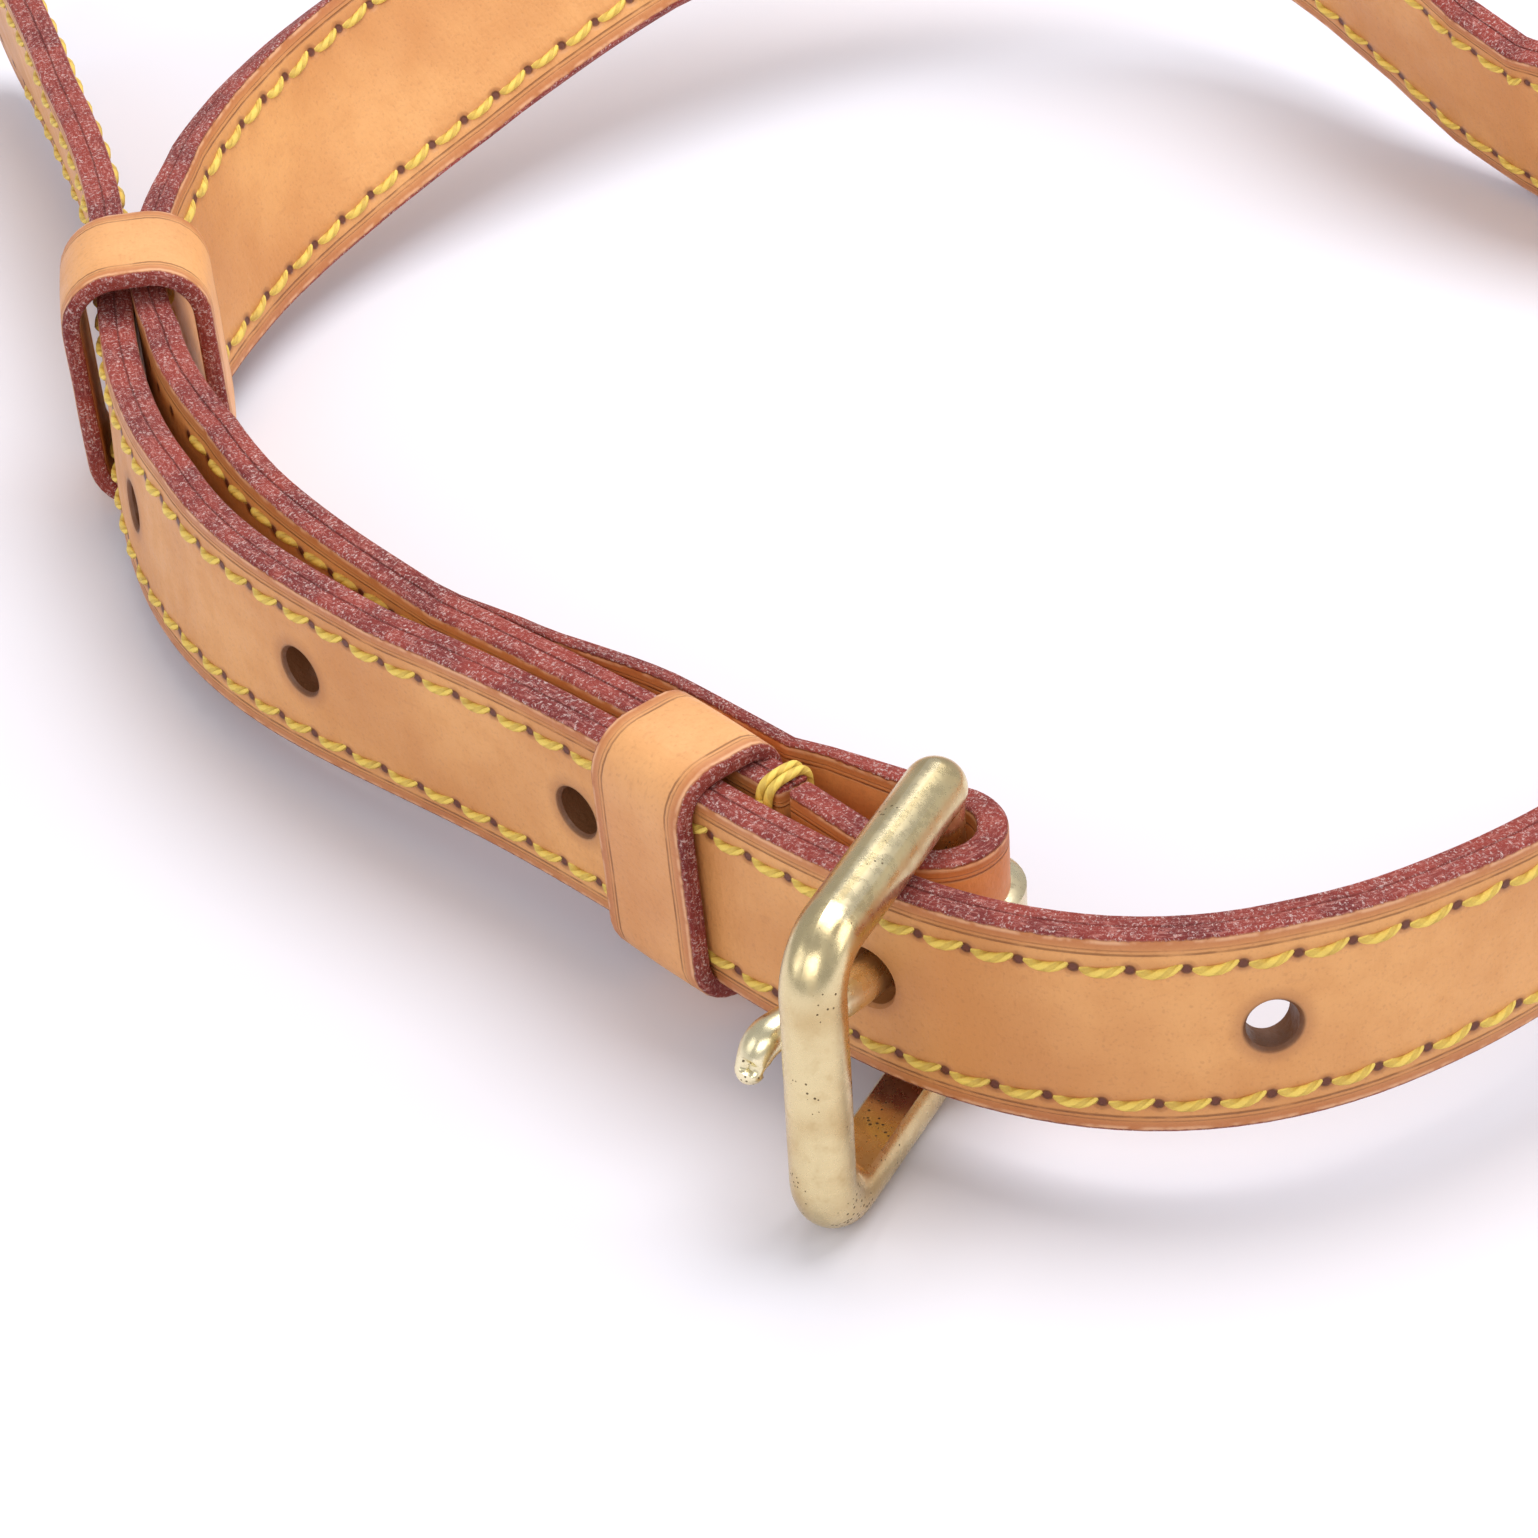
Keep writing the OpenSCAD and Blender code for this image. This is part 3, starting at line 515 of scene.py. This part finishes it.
plain = lambda u: W
flare = lambda u: look(BUCKLE_WIDTH, u)
strap_ply("billet_face_leather", billet_at, -22, 505, 0, PLY, "low", plain, billet_leather, "straps",
          ["billet_outer_leather"], tip_cut, True)
strap_ply("billet_backing_leather", billet_at, -22, 505, PLY, THICK, "high", plain, billet_leather, "straps",
          ["billet_lining"], tip_cut, True)
strap_ply("loop_face_leather", buckle_at, 0, 515, 0, PLY, "low", flare, loop_leather, "straps",
          ["buckle_strap_outer_leather"])
strap_ply("loop_backing_leather", buckle_at, 0, 515, PLY, THICK, "high", flare, loop_leather, "straps",
          ["buckle_strap_lining"])


# ---------------------------------------------------------------- stitches
def twist_map(bm):
    """Length and turn round the thread, before the piece is bent."""
    uv = bm.loops.layers.uv.new("twist")
    for f in bm.faces:
        c = f.calc_center_median()
        mid = math.atan2(c.z, c.y) / math.tau
        for l in f.loops:
            a = math.atan2(l.vert.co.z, l.vert.co.y) / math.tau
            if math.hypot(l.vert.co.y, l.vert.co.z) < 1e-6:
                a = mid
            while a - mid > 0.5:
                a -= 1
            while a - mid < -0.5:
                a += 1
            l[uv].uv = (l.vert.co.x, a)


def stitch_mesh():
    bm = bmesh.new()
    bmesh.ops.create_cone(bm, cap_ends=True, cap_tris=False, segments=7, radius1=0.38, radius2=0.38, depth=3.5,
                          matrix=Matrix.Rotation(math.pi / 2, 4, "Y"))
    cut(bm, 0, [-1.45, -1.0, -0.4, 0.4, 1.0, 1.45])
    twist_map(bm)
    for v in bm.verts:
        t = v.co.x / 1.75
        swell = 1.0 - 0.42 * abs(t) ** 3
        v.co.y = v.co.y * swell - 0.34 * (1 - t * t) + 0.14 * t + 0.1
        v.co.z = v.co.z * swell * 0.92 + 0.10 - 0.42 * abs(t) ** 2.6 + 0.05 * t
    me = bpy.data.meshes.new("stitch_work")
    bm.to_mesh(me)
    bm.free()
    return me


STITCH = stitch_mesh()


def stitches(name, places, body, nodes):
    """places: (station function, u, v, side) where side is -1 on the b = 0 face and +1 on the other."""
    bm = bmesh.new()
    for station, u, v, side, level in places:
        n0 = len(bm.verts)
        bm.from_mesh(STITCH)
        bm.verts.ensure_lookup_table()
        du, dv = random.uniform(-0.07, 0.07), random.uniform(-0.05, 0.05)
        turn = random.uniform(-0.06, 0.06)
        for w in bm.verts[n0:]:
            x, y, z = w.co
            s = station(u + du + x)
            w.co = metres(s.spot(v + dv + (y + x * turn) * (1 if side < 0 else -1), level + side * z))
    return keep(bm, name, body, nodes, thread, 60)


def rows(station, u0, u1, phase_low, phase_high, wide_at, side, skip=None):
    out = []
    for phase, top in ((phase_low, False), (phase_high, True)):
        i = math.ceil(u0 / PITCH - phase)
        while (i + phase + 1) * PITCH <= u1:
            u = (i + phase + 0.5) * PITCH
            i += 1
            if skip and skip[0] < u < skip[1]:
                continue
            out.append((station, u, wide_at(u) - INSET if top else INSET, side, 0.0 if side < 0 else THICK))
    return out


stitches("billet_stitches", rows(billet_at, -13, 484, LOW_PHASE, HIGH_PHASE, plain, -1)
         + rows(billet_at, -13, 484, LOW_PHASE, HIGH_PHASE, plain, 1, (40, 64)), "straps", ["billet_stitching"])
stitches("loop_stitches", rows(buckle_at, 42, 495, LOOP_LOW, LOOP_HIGH, flare, -1)
         + rows(buckle_at, 8, 495, LOOP_LOW, LOOP_HIGH, flare, 1, (72, 100)), "straps", ["buckle_strap_stitching"])


class Fixed:
    """Flat station, for stitches that lie on a plane along X."""
    def __init__(self, x, y, z):
        self.x, self.y, self.z = x, y, z

    def __call__(self, u):
        return Station(self.x + u, self.y, self.z, 0, 0, 0)


tab = []
for x in (-9, -13):
    for z in (3.2, 6.4, 9.6, 12.8):
        for s in (-1, 1):
            tab.append((Fixed(RX + x, RY, 3.9 + z), 0.0, 0.0, s, s * (1.8 + THICK + 0.12)))
stitches("tab_stitches", tab, "straps", ["ring_tab_thread"])


# ---------------------------------------------------------------- the leather turned round the heel bar
LEAF = 2.2
TURN_R = 3.8


def turn_path():
    def ring(h):
        a = math.radians(h)
        return (HEEL[0] + TURN_R * math.sin(a), HEEL[1] - TURN_R * math.cos(a))
    out = []
    a, b = (1.95, -8.55), ring(-51.7)
    for k in range(5):
        f = k / 4
        out.append(Station(a[0] + (b[0] - a[0]) * f, a[1] + (b[1] - a[1]) * f, 5, -51.7, 0, 0))
    h = -51.7 + 5.8
    while h < 140:
        out.append(Station(*ring(h), 5, h, 0, 0))
        h += 5.8
    a, b = ring(142.3), (4.62, -4.06)
    for k in range(7):
        f = k / 6
        out.append(Station(a[0] + (b[0] - a[0]) * f, a[1] + (b[1] - a[1]) * f, 5, 142.3 - 5 * f * f, 0, 0))
        out[-1].thin = f
    for u in range(4, 41, 2):
        s = buckle_at(u)
        k = max(0.0, min(1.0, (u - 15) / 13))
        s.p = s.spot(0, -LEAF / 2 - 1.5 * (1 - k * k * (3 - 2 * k)))
        s.u = u
        s.thin = 1.0
        out.append(s)
    return out


TURN = turn_path()
RUN = [0.0]
for a, b in zip(TURN, TURN[1:]):
    RUN.append(RUN[-1] + (b.p - a.p).length)


def turn_at(x):
    x = min(max(x, 0.0), RUN[-1] - 1e-6)
    i = max(j for j in range(len(RUN) - 1) if RUN[j] <= x)
    f = (x - RUN[i]) / (RUN[i + 1] - RUN[i])
    a, b = TURN[i], TURN[i + 1]
    s = Station(0, 0, 0, 0, 0, 0)
    s.p = a.p.lerp(b.p, f)
    s.wide = a.wide.lerp(b.wide, f).normalized()
    s.deep = a.deep.lerp(b.deep, f).normalized()
    s.u = getattr(a, "u", 0) * (1 - f) + getattr(b, "u", 0) * f
    s.thin = getattr(a, "thin", 0) * (1 - f) + getattr(b, "thin", 0) * f
    return s


bm = slab(RUN[-1], W, -LEAF / 2, LEAF / 2, "both", 0.5)
cut(bm, 0, [x for x in RUN[1:-1]])
cut(bm, 1, [W / 2, 4, 12])
near = [RUN[i] for i, s in enumerate(TURN) if (s.p.xy - Vector(HEEL)).length < 6.6]
slot = bmesh.new()
bmesh.ops.create_cube(slot, size=1)
bmesh.ops.scale(slot, vec=(near[-1] - near[0], 5.4, 9), verts=slot.verts)
bmesh.ops.translate(slot, vec=((near[0] + near[-1]) / 2, 8.2, 0), verts=slot.verts)
bmesh.ops.bevel(slot, geom=[e for e in slot.edges if abs(e.verts[0].co.z - e.verts[1].co.z) > 1],
                offset=2.4, segments=6, profile=0.5, affect="EDGES", material=-1)
bm = bored(bm, slot)
marked(bm, plain, 0, W)
for v in bm.verts:
    s = turn_at(v.co.x)
    b = v.co.z
    full = LEAF * (1 - 0.5 * s.thin)
    if s.u > 24:
        full = LEAF / 2 * max(0.3, 42 - s.u) / 18
    b = LEAF / 2 - (LEAF / 2 - b) * full / LEAF
    low = max(0.0, s.u - 30) / 10
    v.co = metres(s.spot(8 + (v.co.y - 8) * (1 - 0.07 * low), b))
keep(bm, "buckle_turn_leather", "straps", ["buckle_turn"], turn_leather)


# ---------------------------------------------------------------- keepers
def keeper(name, body, node, station, centre_v, depth, height, centre_b, mat, r, back):
    """A strip of leather bent round a rounded rectangle and joined end to end, thinned at the back."""
    wall, length = 1.5, 9.9
    hw, hh = depth / 2 + wall / 2, height / 2 + wall / 2
    sides = [2 * (hh - r), math.pi * r / 2, 2 * (hw - r), math.pi * r / 2] * 2
    total = sum(sides)

    def ring(x):
        """Place and outward normal on the mid line, x along it; starts on the back, going up."""
        x %= total
        corner = [(hw - r, hh - r), (-(hw - r), hh - r), (-(hw - r), -(hh - r)), (hw - r, -(hh - r))]
        for i in range(4):
            flat, arc = sides[2 * i], sides[2 * i + 1]
            a0 = math.radians(90 * i)
            if x <= flat:
                n = (math.cos(a0), math.sin(a0))
                t = (-n[1], n[0])
                c = corner[i]
                return (c[0] + n[0] * r - t[0] * (flat - x), c[1] + n[1] * r - t[1] * (flat - x)), n
            x -= flat
            if x <= arc:
                a = a0 + x / r
                n = (math.cos(a), math.sin(a))
                return (corner[i][0] + n[0] * r, corner[i][1] + n[1] * r), n
            x -= arc
        return ring(0)

    bm = slab(total, length, -wall / 2, wall / 2, "both", 0.5)
    bmesh.ops.delete(bm, geom=[f for f in bm.faces if all(v.co.x < 0.6 for v in f.verts)
                               or all(v.co.x > total - 0.6 for v in f.verts)], context="FACES")
    bmesh.ops.bisect_plane(bm, geom=bm.verts[:] + bm.edges[:] + bm.faces[:], dist=1e-6,
                           plane_co=(0.7, 0, 0), plane_no=(1, 0, 0), clear_inner=True)
    bmesh.ops.bisect_plane(bm, geom=bm.verts[:] + bm.edges[:] + bm.faces[:], dist=1e-6,
                           plane_co=(total - 0.7, 0, 0), plane_no=(1, 0, 0), clear_outer=True)
    for v in bm.verts:
        v.co.x = (v.co.x - 0.7) / (total - 1.4) * total
    n = 72
    cut(bm, 0, [total * i / n for i in range(1, n)])
    cut(bm, 1, [length / 2, 2.2, length - 2.2])
    lay, rim = bm.loops.layers.uv.new("lay"), bm.loops.layers.uv.new("rim")
    for f in bm.faces:
        for l in f.loops:
            x, y, z = l.vert.co
            l[lay].uv = (x, y)
            l[rim].uv = (min(y, length - y), z + 0.4)
    for v in bm.verts:
        (p, q), nn = ring(v.co.x)
        thin = 1 - (1 - back / wall) * max(0.0, nn[0]) ** 2
        belly = 0.08 * math.cos((v.co.y / length - 0.5) * math.pi)
        out = (v.co.z + wall / 2) * thin * (1 + 0.012 * math.sin(v.co.x * 0.9 + 1)) - wall / 2 + belly * thin - 0.05
        b, w = p + nn[0] * out, q + nn[1] * out
        v.co = metres(station.spot(centre_v + w, centre_b + b, v.co.y - length / 2))
    bmesh.ops.remove_doubles(bm, verts=bm.verts, dist=2e-6)
    return keep(bm, name, body, [node], mat, 40)


keeper("fixed_keeper_leather", "straps", "fixed_keeper", billet_at(137.6), W / 2, 7.55, W + 0.7, 7.55 / 2 - 0.45,
       keeper_leather, 3.1, 0.8)
s = billet_at(49.5)
q = s.spot(0, 9.0 / 2 - 1.1)
slide = Station(q.x, q.y, 11.03, look(BILLET_HEADING, 49.5) + 1, -3, 0)
keeper("sliding_keeper_leather", "keeper_slider", "sliding_keeper", slide, 0.0, 9.0, 18.8, 0.0, keeper_leather, 4.0, 1.5)


# ---------------------------------------------------------------- threads tied over the fold
def cords(name, lines, radius, body, nodes):
    """Tubes along smooth lines, closed at both ends."""
    bm = bmesh.new()
    for pts in lines:
        length = sum((b - a).length for a, b in zip(pts, pts[1:]))
        one = bmesh.new()
        bmesh.ops.create_cone(one, cap_ends=True, segments=12, radius1=radius, radius2=radius, depth=length,
                              matrix=Matrix.Translation((length / 2, 0, 0)) @ Matrix.Rotation(math.pi / 2, 4, "Y"))
        n = max(8, int(length / 0.3))
        cut(one, 0, [length * i / n for i in range(1, n)])
        twist_map(one)
        runs = [0.0]
        for a, b in zip(pts, pts[1:]):
            runs.append(runs[-1] + (b - a).length)
        def at(x):
            i = max(j for j in range(len(runs) - 1) if runs[j] <= max(0, min(x, length - 1e-6)))
            f = (x - runs[i]) / (runs[i + 1] - runs[i])
            return pts[i].lerp(pts[i + 1], f)
        rings = {}
        for v in one.verts:
            rings.setdefault(round(v.co.x, 4), []).append(v)
        side = None
        for x in sorted(rings):
            d = (at(min(x + 0.15, length)) - at(max(x - 0.15, 0))).normalized()
            side = (side or Vector((0.31, 0.27, 0.91)))
            side = (side - d * side.dot(d)).normalized()
            up = d.cross(side)
            c = at(x)
            fade = min(1.0, 0.35 + x / 0.5, 0.35 + (length - x) / 0.5)
            for v in rings[x]:
                y, z = v.co.y, v.co.z
                v.co = metres(c + side * y * fade + up * z * fade)
        me = bpy.data.meshes.new("cord_work")
        one.to_mesh(me)
        one.free()
        bm.from_mesh(me)
    return keep(bm, name, body, nodes, thread, 60)



def smooth_line(points, per=6):
    """Catmull-Rom through the points."""
    out = []
    q = [points[0]] + list(points) + [points[-1]]
    for a, b, c, d in zip(q, q[1:], q[2:], q[3:]):
        for k in range(per):
            t = k / per
            out.append(0.5 * ((2 * b) + (c - a) * t + (2 * a - 5 * b + 4 * c - d) * t * t
                              + (3 * b - a - 3 * c + d) * t ** 3))
    out.append(points[-1].copy())
    return out


# two wraps over the top edge of the strap end, knotted, with the tail hanging on the near side
s0 = buckle_at(1.6)
lines = []
for x, lo in ((-1.35, 10.2), (-0.5, 11.8)):
    pts = [s0.spot(v, b, x + e) for v, b, e in (
        (lo, 3.0, 0.9), (13.2, 3.2, 0.45), (15.3, 3.22, 0.15), (16.25, 2.75, 0.0), (16.5, 1.4, 0.0),
        (16.25, 0.05, 0.1), (15.2, -0.45, 0.2), (13.0, -0.45, 0.3))]
    lines.append(smooth_line([Vector(p) for p in pts]))
knot = [s0.spot(14.3 + 0.6 * math.sin(a * 1.5), 3.62 + 0.2 * math.cos(a * 1.5), -0.9 + 0.65 * math.cos(a)) for a in
        [i * 0.45 for i in range(16)]]
lines.append(smooth_line([Vector(p) for p in knot], 3))
cords("fold_tack_thread", lines, 0.34, "straps", ["buckle_tack_thread"])


# ---------------------------------------------------------------- buckle tongue
def tongue():
    """Eye round the heel bar and a shank that bends, thins and drops toward its broken tip."""
    hx, hy, hz = HEEL[0], HEEL[1], 13.2
    a0 = math.radians(-129.5)
    turn = math.radians(-14.5)
    d0 = Vector((math.cos(a0), math.sin(a0), 0))
    d1 = Vector((math.cos(a0 + turn), math.sin(a0 + turn), 0))
    start, kink, total = 3.4, 10.5, 20.9
    bm = bmesh.new()
    bmesh.ops.create_cone(bm, cap_ends=True, segments=32, radius1=1.45, radius2=1.45, depth=total - start,
                          matrix=Matrix.Translation(((start + total) / 2, 0, 0)) @ Matrix.Rotation(math.pi / 2, 4, "Y"))
    cut(bm, 0, [start + 0.25 * i for i in range(1, 68) if start + 0.25 * i < total - 0.9]
        + [total - 0.9 + 0.9 * math.sin(math.pi / 2 * i / 8) for i in range(0, 8)])
    for v in bm.verts:
        x, y, z = v.co
        t = max(0.0, (x - 15.0) / (total - 15.0))
        cap = max(0.0, (x - (total - 0.9)) / 0.9)
        shrink = math.sqrt(max(0.02, 1 - cap * cap))
        y *= (1 + 0.06 * math.sin(t * 3.1) - 0.34 * t * t) * shrink
        z *= (1 - 0.42 * t) * shrink
        if y > 0.1 and 18.9 < x < 20.0:
            z *= 1 - 0.5 * min(1.0, (x - 18.9) / 0.3, (20.0 - x) / 0.3)
        phi = max(0.0, min(1.1, (x - 16.7) / 1.9))
        knee = min(x, 16.7)
        past = max(0.0, x - 16.7 - 1.9 * 1.1)
        lift = z * math.cos(phi)
        drop = -1.9 * (1 - math.cos(phi)) - past * math.sin(phi)
        x = knee + 1.9 * math.sin(phi) + past * math.cos(phi) + z * math.sin(phi)
        z = lift + drop
        e = x - kink
        soft = 1.6
        if e < -soft:
            c, n = d0 * x, Vector((-d0.y, d0.x, 0))
        elif e > soft:
            c, n = d0 * kink + d1 * e, Vector((-d1.y, d1.x, 0))
        else:
            f = (e + soft) / (2 * soft)
            c = (d0 * (kink - soft)) * (1 - f) ** 2 + d0 * kink * 2 * f * (1 - f) + (d0 * kink + d1 * soft) * f * f
            d = d0.lerp(d1, f).normalized()
            n = Vector((-d.y, d.x, 0))
        v.co = metres(Vector((hx, hy, hz)) + c + n * y + Vector((0, 0, z)))
    eye = bmesh.new()
    prof = [(2.06, -1.55), (2.5, -2.0), (4.2, -2.0), (4.7, -1.5), (4.7, 1.5), (4.2, 2.0), (2.5, 2.0), (2.06, 1.55), (2.06, -1.55)]
    vs = [eye.verts.new((r, 0, z)) for r, z in prof[:-1]]
    es = [eye.edges.new((vs[i], vs[(i + 1) % len(vs)])) for i in range(len(vs))]
    bmesh.ops.spin(eye, geom=vs + es, cent=(0, 0, 0), axis=(0, 0, 1), angle=math.tau, steps=56, use_merge=True)
    bmesh.ops.remove_doubles(eye, verts=eye.verts, dist=1e-4)
    for v in eye.verts:
        r, a = math.hypot(v.co.x, v.co.y), math.atan2(v.co.y, v.co.x)
        g = a - math.radians(42)
        reach = 2.1 * math.cos(g) + math.sqrt(max(0.0, 4.5 ** 2 - (2.1 * math.sin(g)) ** 2))
        k = max(1.0, reach / 4.7)
        share = max(0.0, min(1.0, (r - 2.2) / 2.4))
        s = 1 + (k - 1) * share
        v.co = metres(Vector((hx + v.co.x * s, hy + v.co.y * s, hz + v.co.z)))
    me = bpy.data.meshes.new("eye_work")
    eye.to_mesh(me)
    eye.free()
    bm.from_mesh(me)
    return keep(bm, "tongue_cast", "tongue", ["buckle_tongue"], tongue_painted_bright_brass, 40)


tongue()

# ---------------------------------------------------------------- CAD hardware keeps its shape
for node in ("buckle_frame", "hook_ring", "swivel_eye", "hook_body", "hook_gate", "gate_pin"):
    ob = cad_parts[node]
    ob.data.materials.clear()
    ob.data.materials.append(brass)


def plain_group(name, light, deep, scale):
    g, n, gi, go = group(name, [("Light", "NodeSocketColor", light), ("Deep", "NodeSocketColor", deep)],
        [("Color", "NodeSocketColor"), ("Roughness", "NodeSocketFloat"), ("Normal", "NodeSocketVector")])
    co = n.node("ShaderNodeTexCoord").outputs["Object"]
    big, fine = n.noise(co, scale, 4, 0.6), n.noise(co, scale * 14, 4, 0.6)
    z = n.node("ShaderNodeSeparateXYZ", {0: n.node("ShaderNodeNewGeometry").outputs["Normal"]}).outputs[2]
    rim = n.band(n.calc("ABSOLUTE", z), 0.6, 0.8)
    col = n.mix(n.band(big, 0.35, 0.68), gi.outputs["Light"], gi.outputs["Deep"])
    col = n.mix(n.band(fine, 0.5, 0.8, 0.0, 0.3), col, gi.outputs["Deep"])
    if "leather" in name:
        col = n.mix(rim, col, n.mix(n.band(fine, 0.5, 0.65), lin(140, 56, 48), lin(214, 150, 142)))
    bump = n.node("ShaderNodeBump", {"Height": n.calc("MULTIPLY", fine, 0.08), "Distance": MM, "Strength": 0.8})
    n.tree.links.new(col, go.inputs["Color"])
    n.tree.links.new(n.band(big, 0.3, 0.7, 0.3, 0.6), go.inputs["Roughness"])
    n.tree.links.new(bump.outputs[0], go.inputs["Normal"])
    return g


tab_leather = material("tab_leather", plain_group("tab_leather_grain", lin(214, 150, 98), lin(184, 118, 72), 120))
steel = material("spring_steel_metal", plain_group("spring_steel_grain", lin(150, 150, 156), lin(104, 104, 110), 400), Metallic=1.0)
for node, m, slot_name in (("ring_tab", tab_leather, "strap_leather"), ("gate_spring", steel, "spring_steel")):
    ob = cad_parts[node]
    ob.data.materials.clear()
    ob.data.materials.append(m)

# ---------------------------------------------------------------- floor, backdrop and lights
bm = bmesh.new()
bmesh.ops.create_grid(bm, x_segments=1, y_segments=1, size=3.0)
me = bpy.data.meshes.new("floor")
bm.to_mesh(me)
bm.free()
floor = bpy.data.objects.new("floor", me)
floor.location.z = -0.00005
bpy.context.scene.collection.objects.link(floor)
fm = bpy.data.materials.new("pale_floor")
fm.use_nodes = True
fm.node_tree.nodes["Principled BSDF"].inputs["Base Color"].default_value = (0.765, 0.755, 0.815, 1)
fm.node_tree.nodes["Principled BSDF"].inputs["Roughness"].default_value = 0.9
fm.node_tree.nodes["Principled BSDF"].inputs["Specular IOR Level"].default_value = 0.1
me.materials.append(fm)


def lamp(name, where, aim, size, power, colour=(1, 1, 1)):
    d = bpy.data.lights.new(name, "AREA")
    d.shape, d.size, d.size_y, d.energy, d.color = "RECTANGLE", size[0], size[1], power, colour
    o = bpy.data.objects.new(name, d)
    o.location = where
    o.rotation_euler = (Vector(aim) - Vector(where)).to_track_quat("-Z", "Y").to_euler()
    bpy.context.scene.collection.objects.link(o)
    return o


lamp("softbox_top", (0.15, 0.35, 1.3), (-0.12, 0, 0), (1.2, 0.9), 15.5)
lamp("softbox_front", (-0.5, -1.2, 0.9), (-0.12, 0, 0), (0.9, 0.6), 6.2, (1.0, 0.98, 0.95))
lamp("softbox_right", (1.3, -0.2, 0.7), (-0.12, 0, 0), (0.7, 0.9), 5.5)
lamp("softbox_left", (-1.3, -0.3, 0.6), (-0.15, 0, 0), (0.6, 0.6), 1.6)

world = bpy.data.worlds.new("studio")
bpy.context.scene.world = world
world.use_nodes = True
wt = world.node_tree
bg = wt.nodes["Background"]
wn = Net(wt)
path = wn.node("ShaderNodeLightPath")
seen = wn.calc("MAXIMUM", path.outputs["Is Camera Ray"], path.outputs["Is Transmission Ray"])
wt.links.new(wn.calc("SUBTRACT", wn.band(seen, 0.0, 1.0, 0.55, 1.0),
                     wn.calc("MULTIPLY", path.outputs["Is Glossy Ray"], 0.08)), bg.inputs["Strength"])
bg.inputs["Color"].default_value = (0.98, 0.98, 1.0, 1)

# ---------------------------------------------------------------- camera
tilt, roll = math.radians(35.45), math.radians(-3.395)
right, down = Vector((1, 0, 0)), Vector((0, -math.sin(tilt), -math.cos(tilt)))
ax = right * math.cos(roll) - down * math.sin(roll)
ay = -(right * math.sin(roll) + down * math.cos(roll))
az = Vector((0, -math.cos(tilt), math.sin(tilt)))
cd = bpy.data.cameras.new("camera")
cd.lens, cd.sensor_width = 140.44, 36
cd.clip_start, cd.clip_end = 0.01, 20
cam = bpy.data.objects.new("camera", cd)
cam.matrix_world = Matrix.Translation(metres((0, -340, 258.535))) @ Matrix((ax, ay, az)).transposed().to_4x4()
bpy.context.scene.collection.objects.link(cam)
bpy.context.scene.camera = cam
bpy.context.scene.view_settings.view_transform = "Standard"
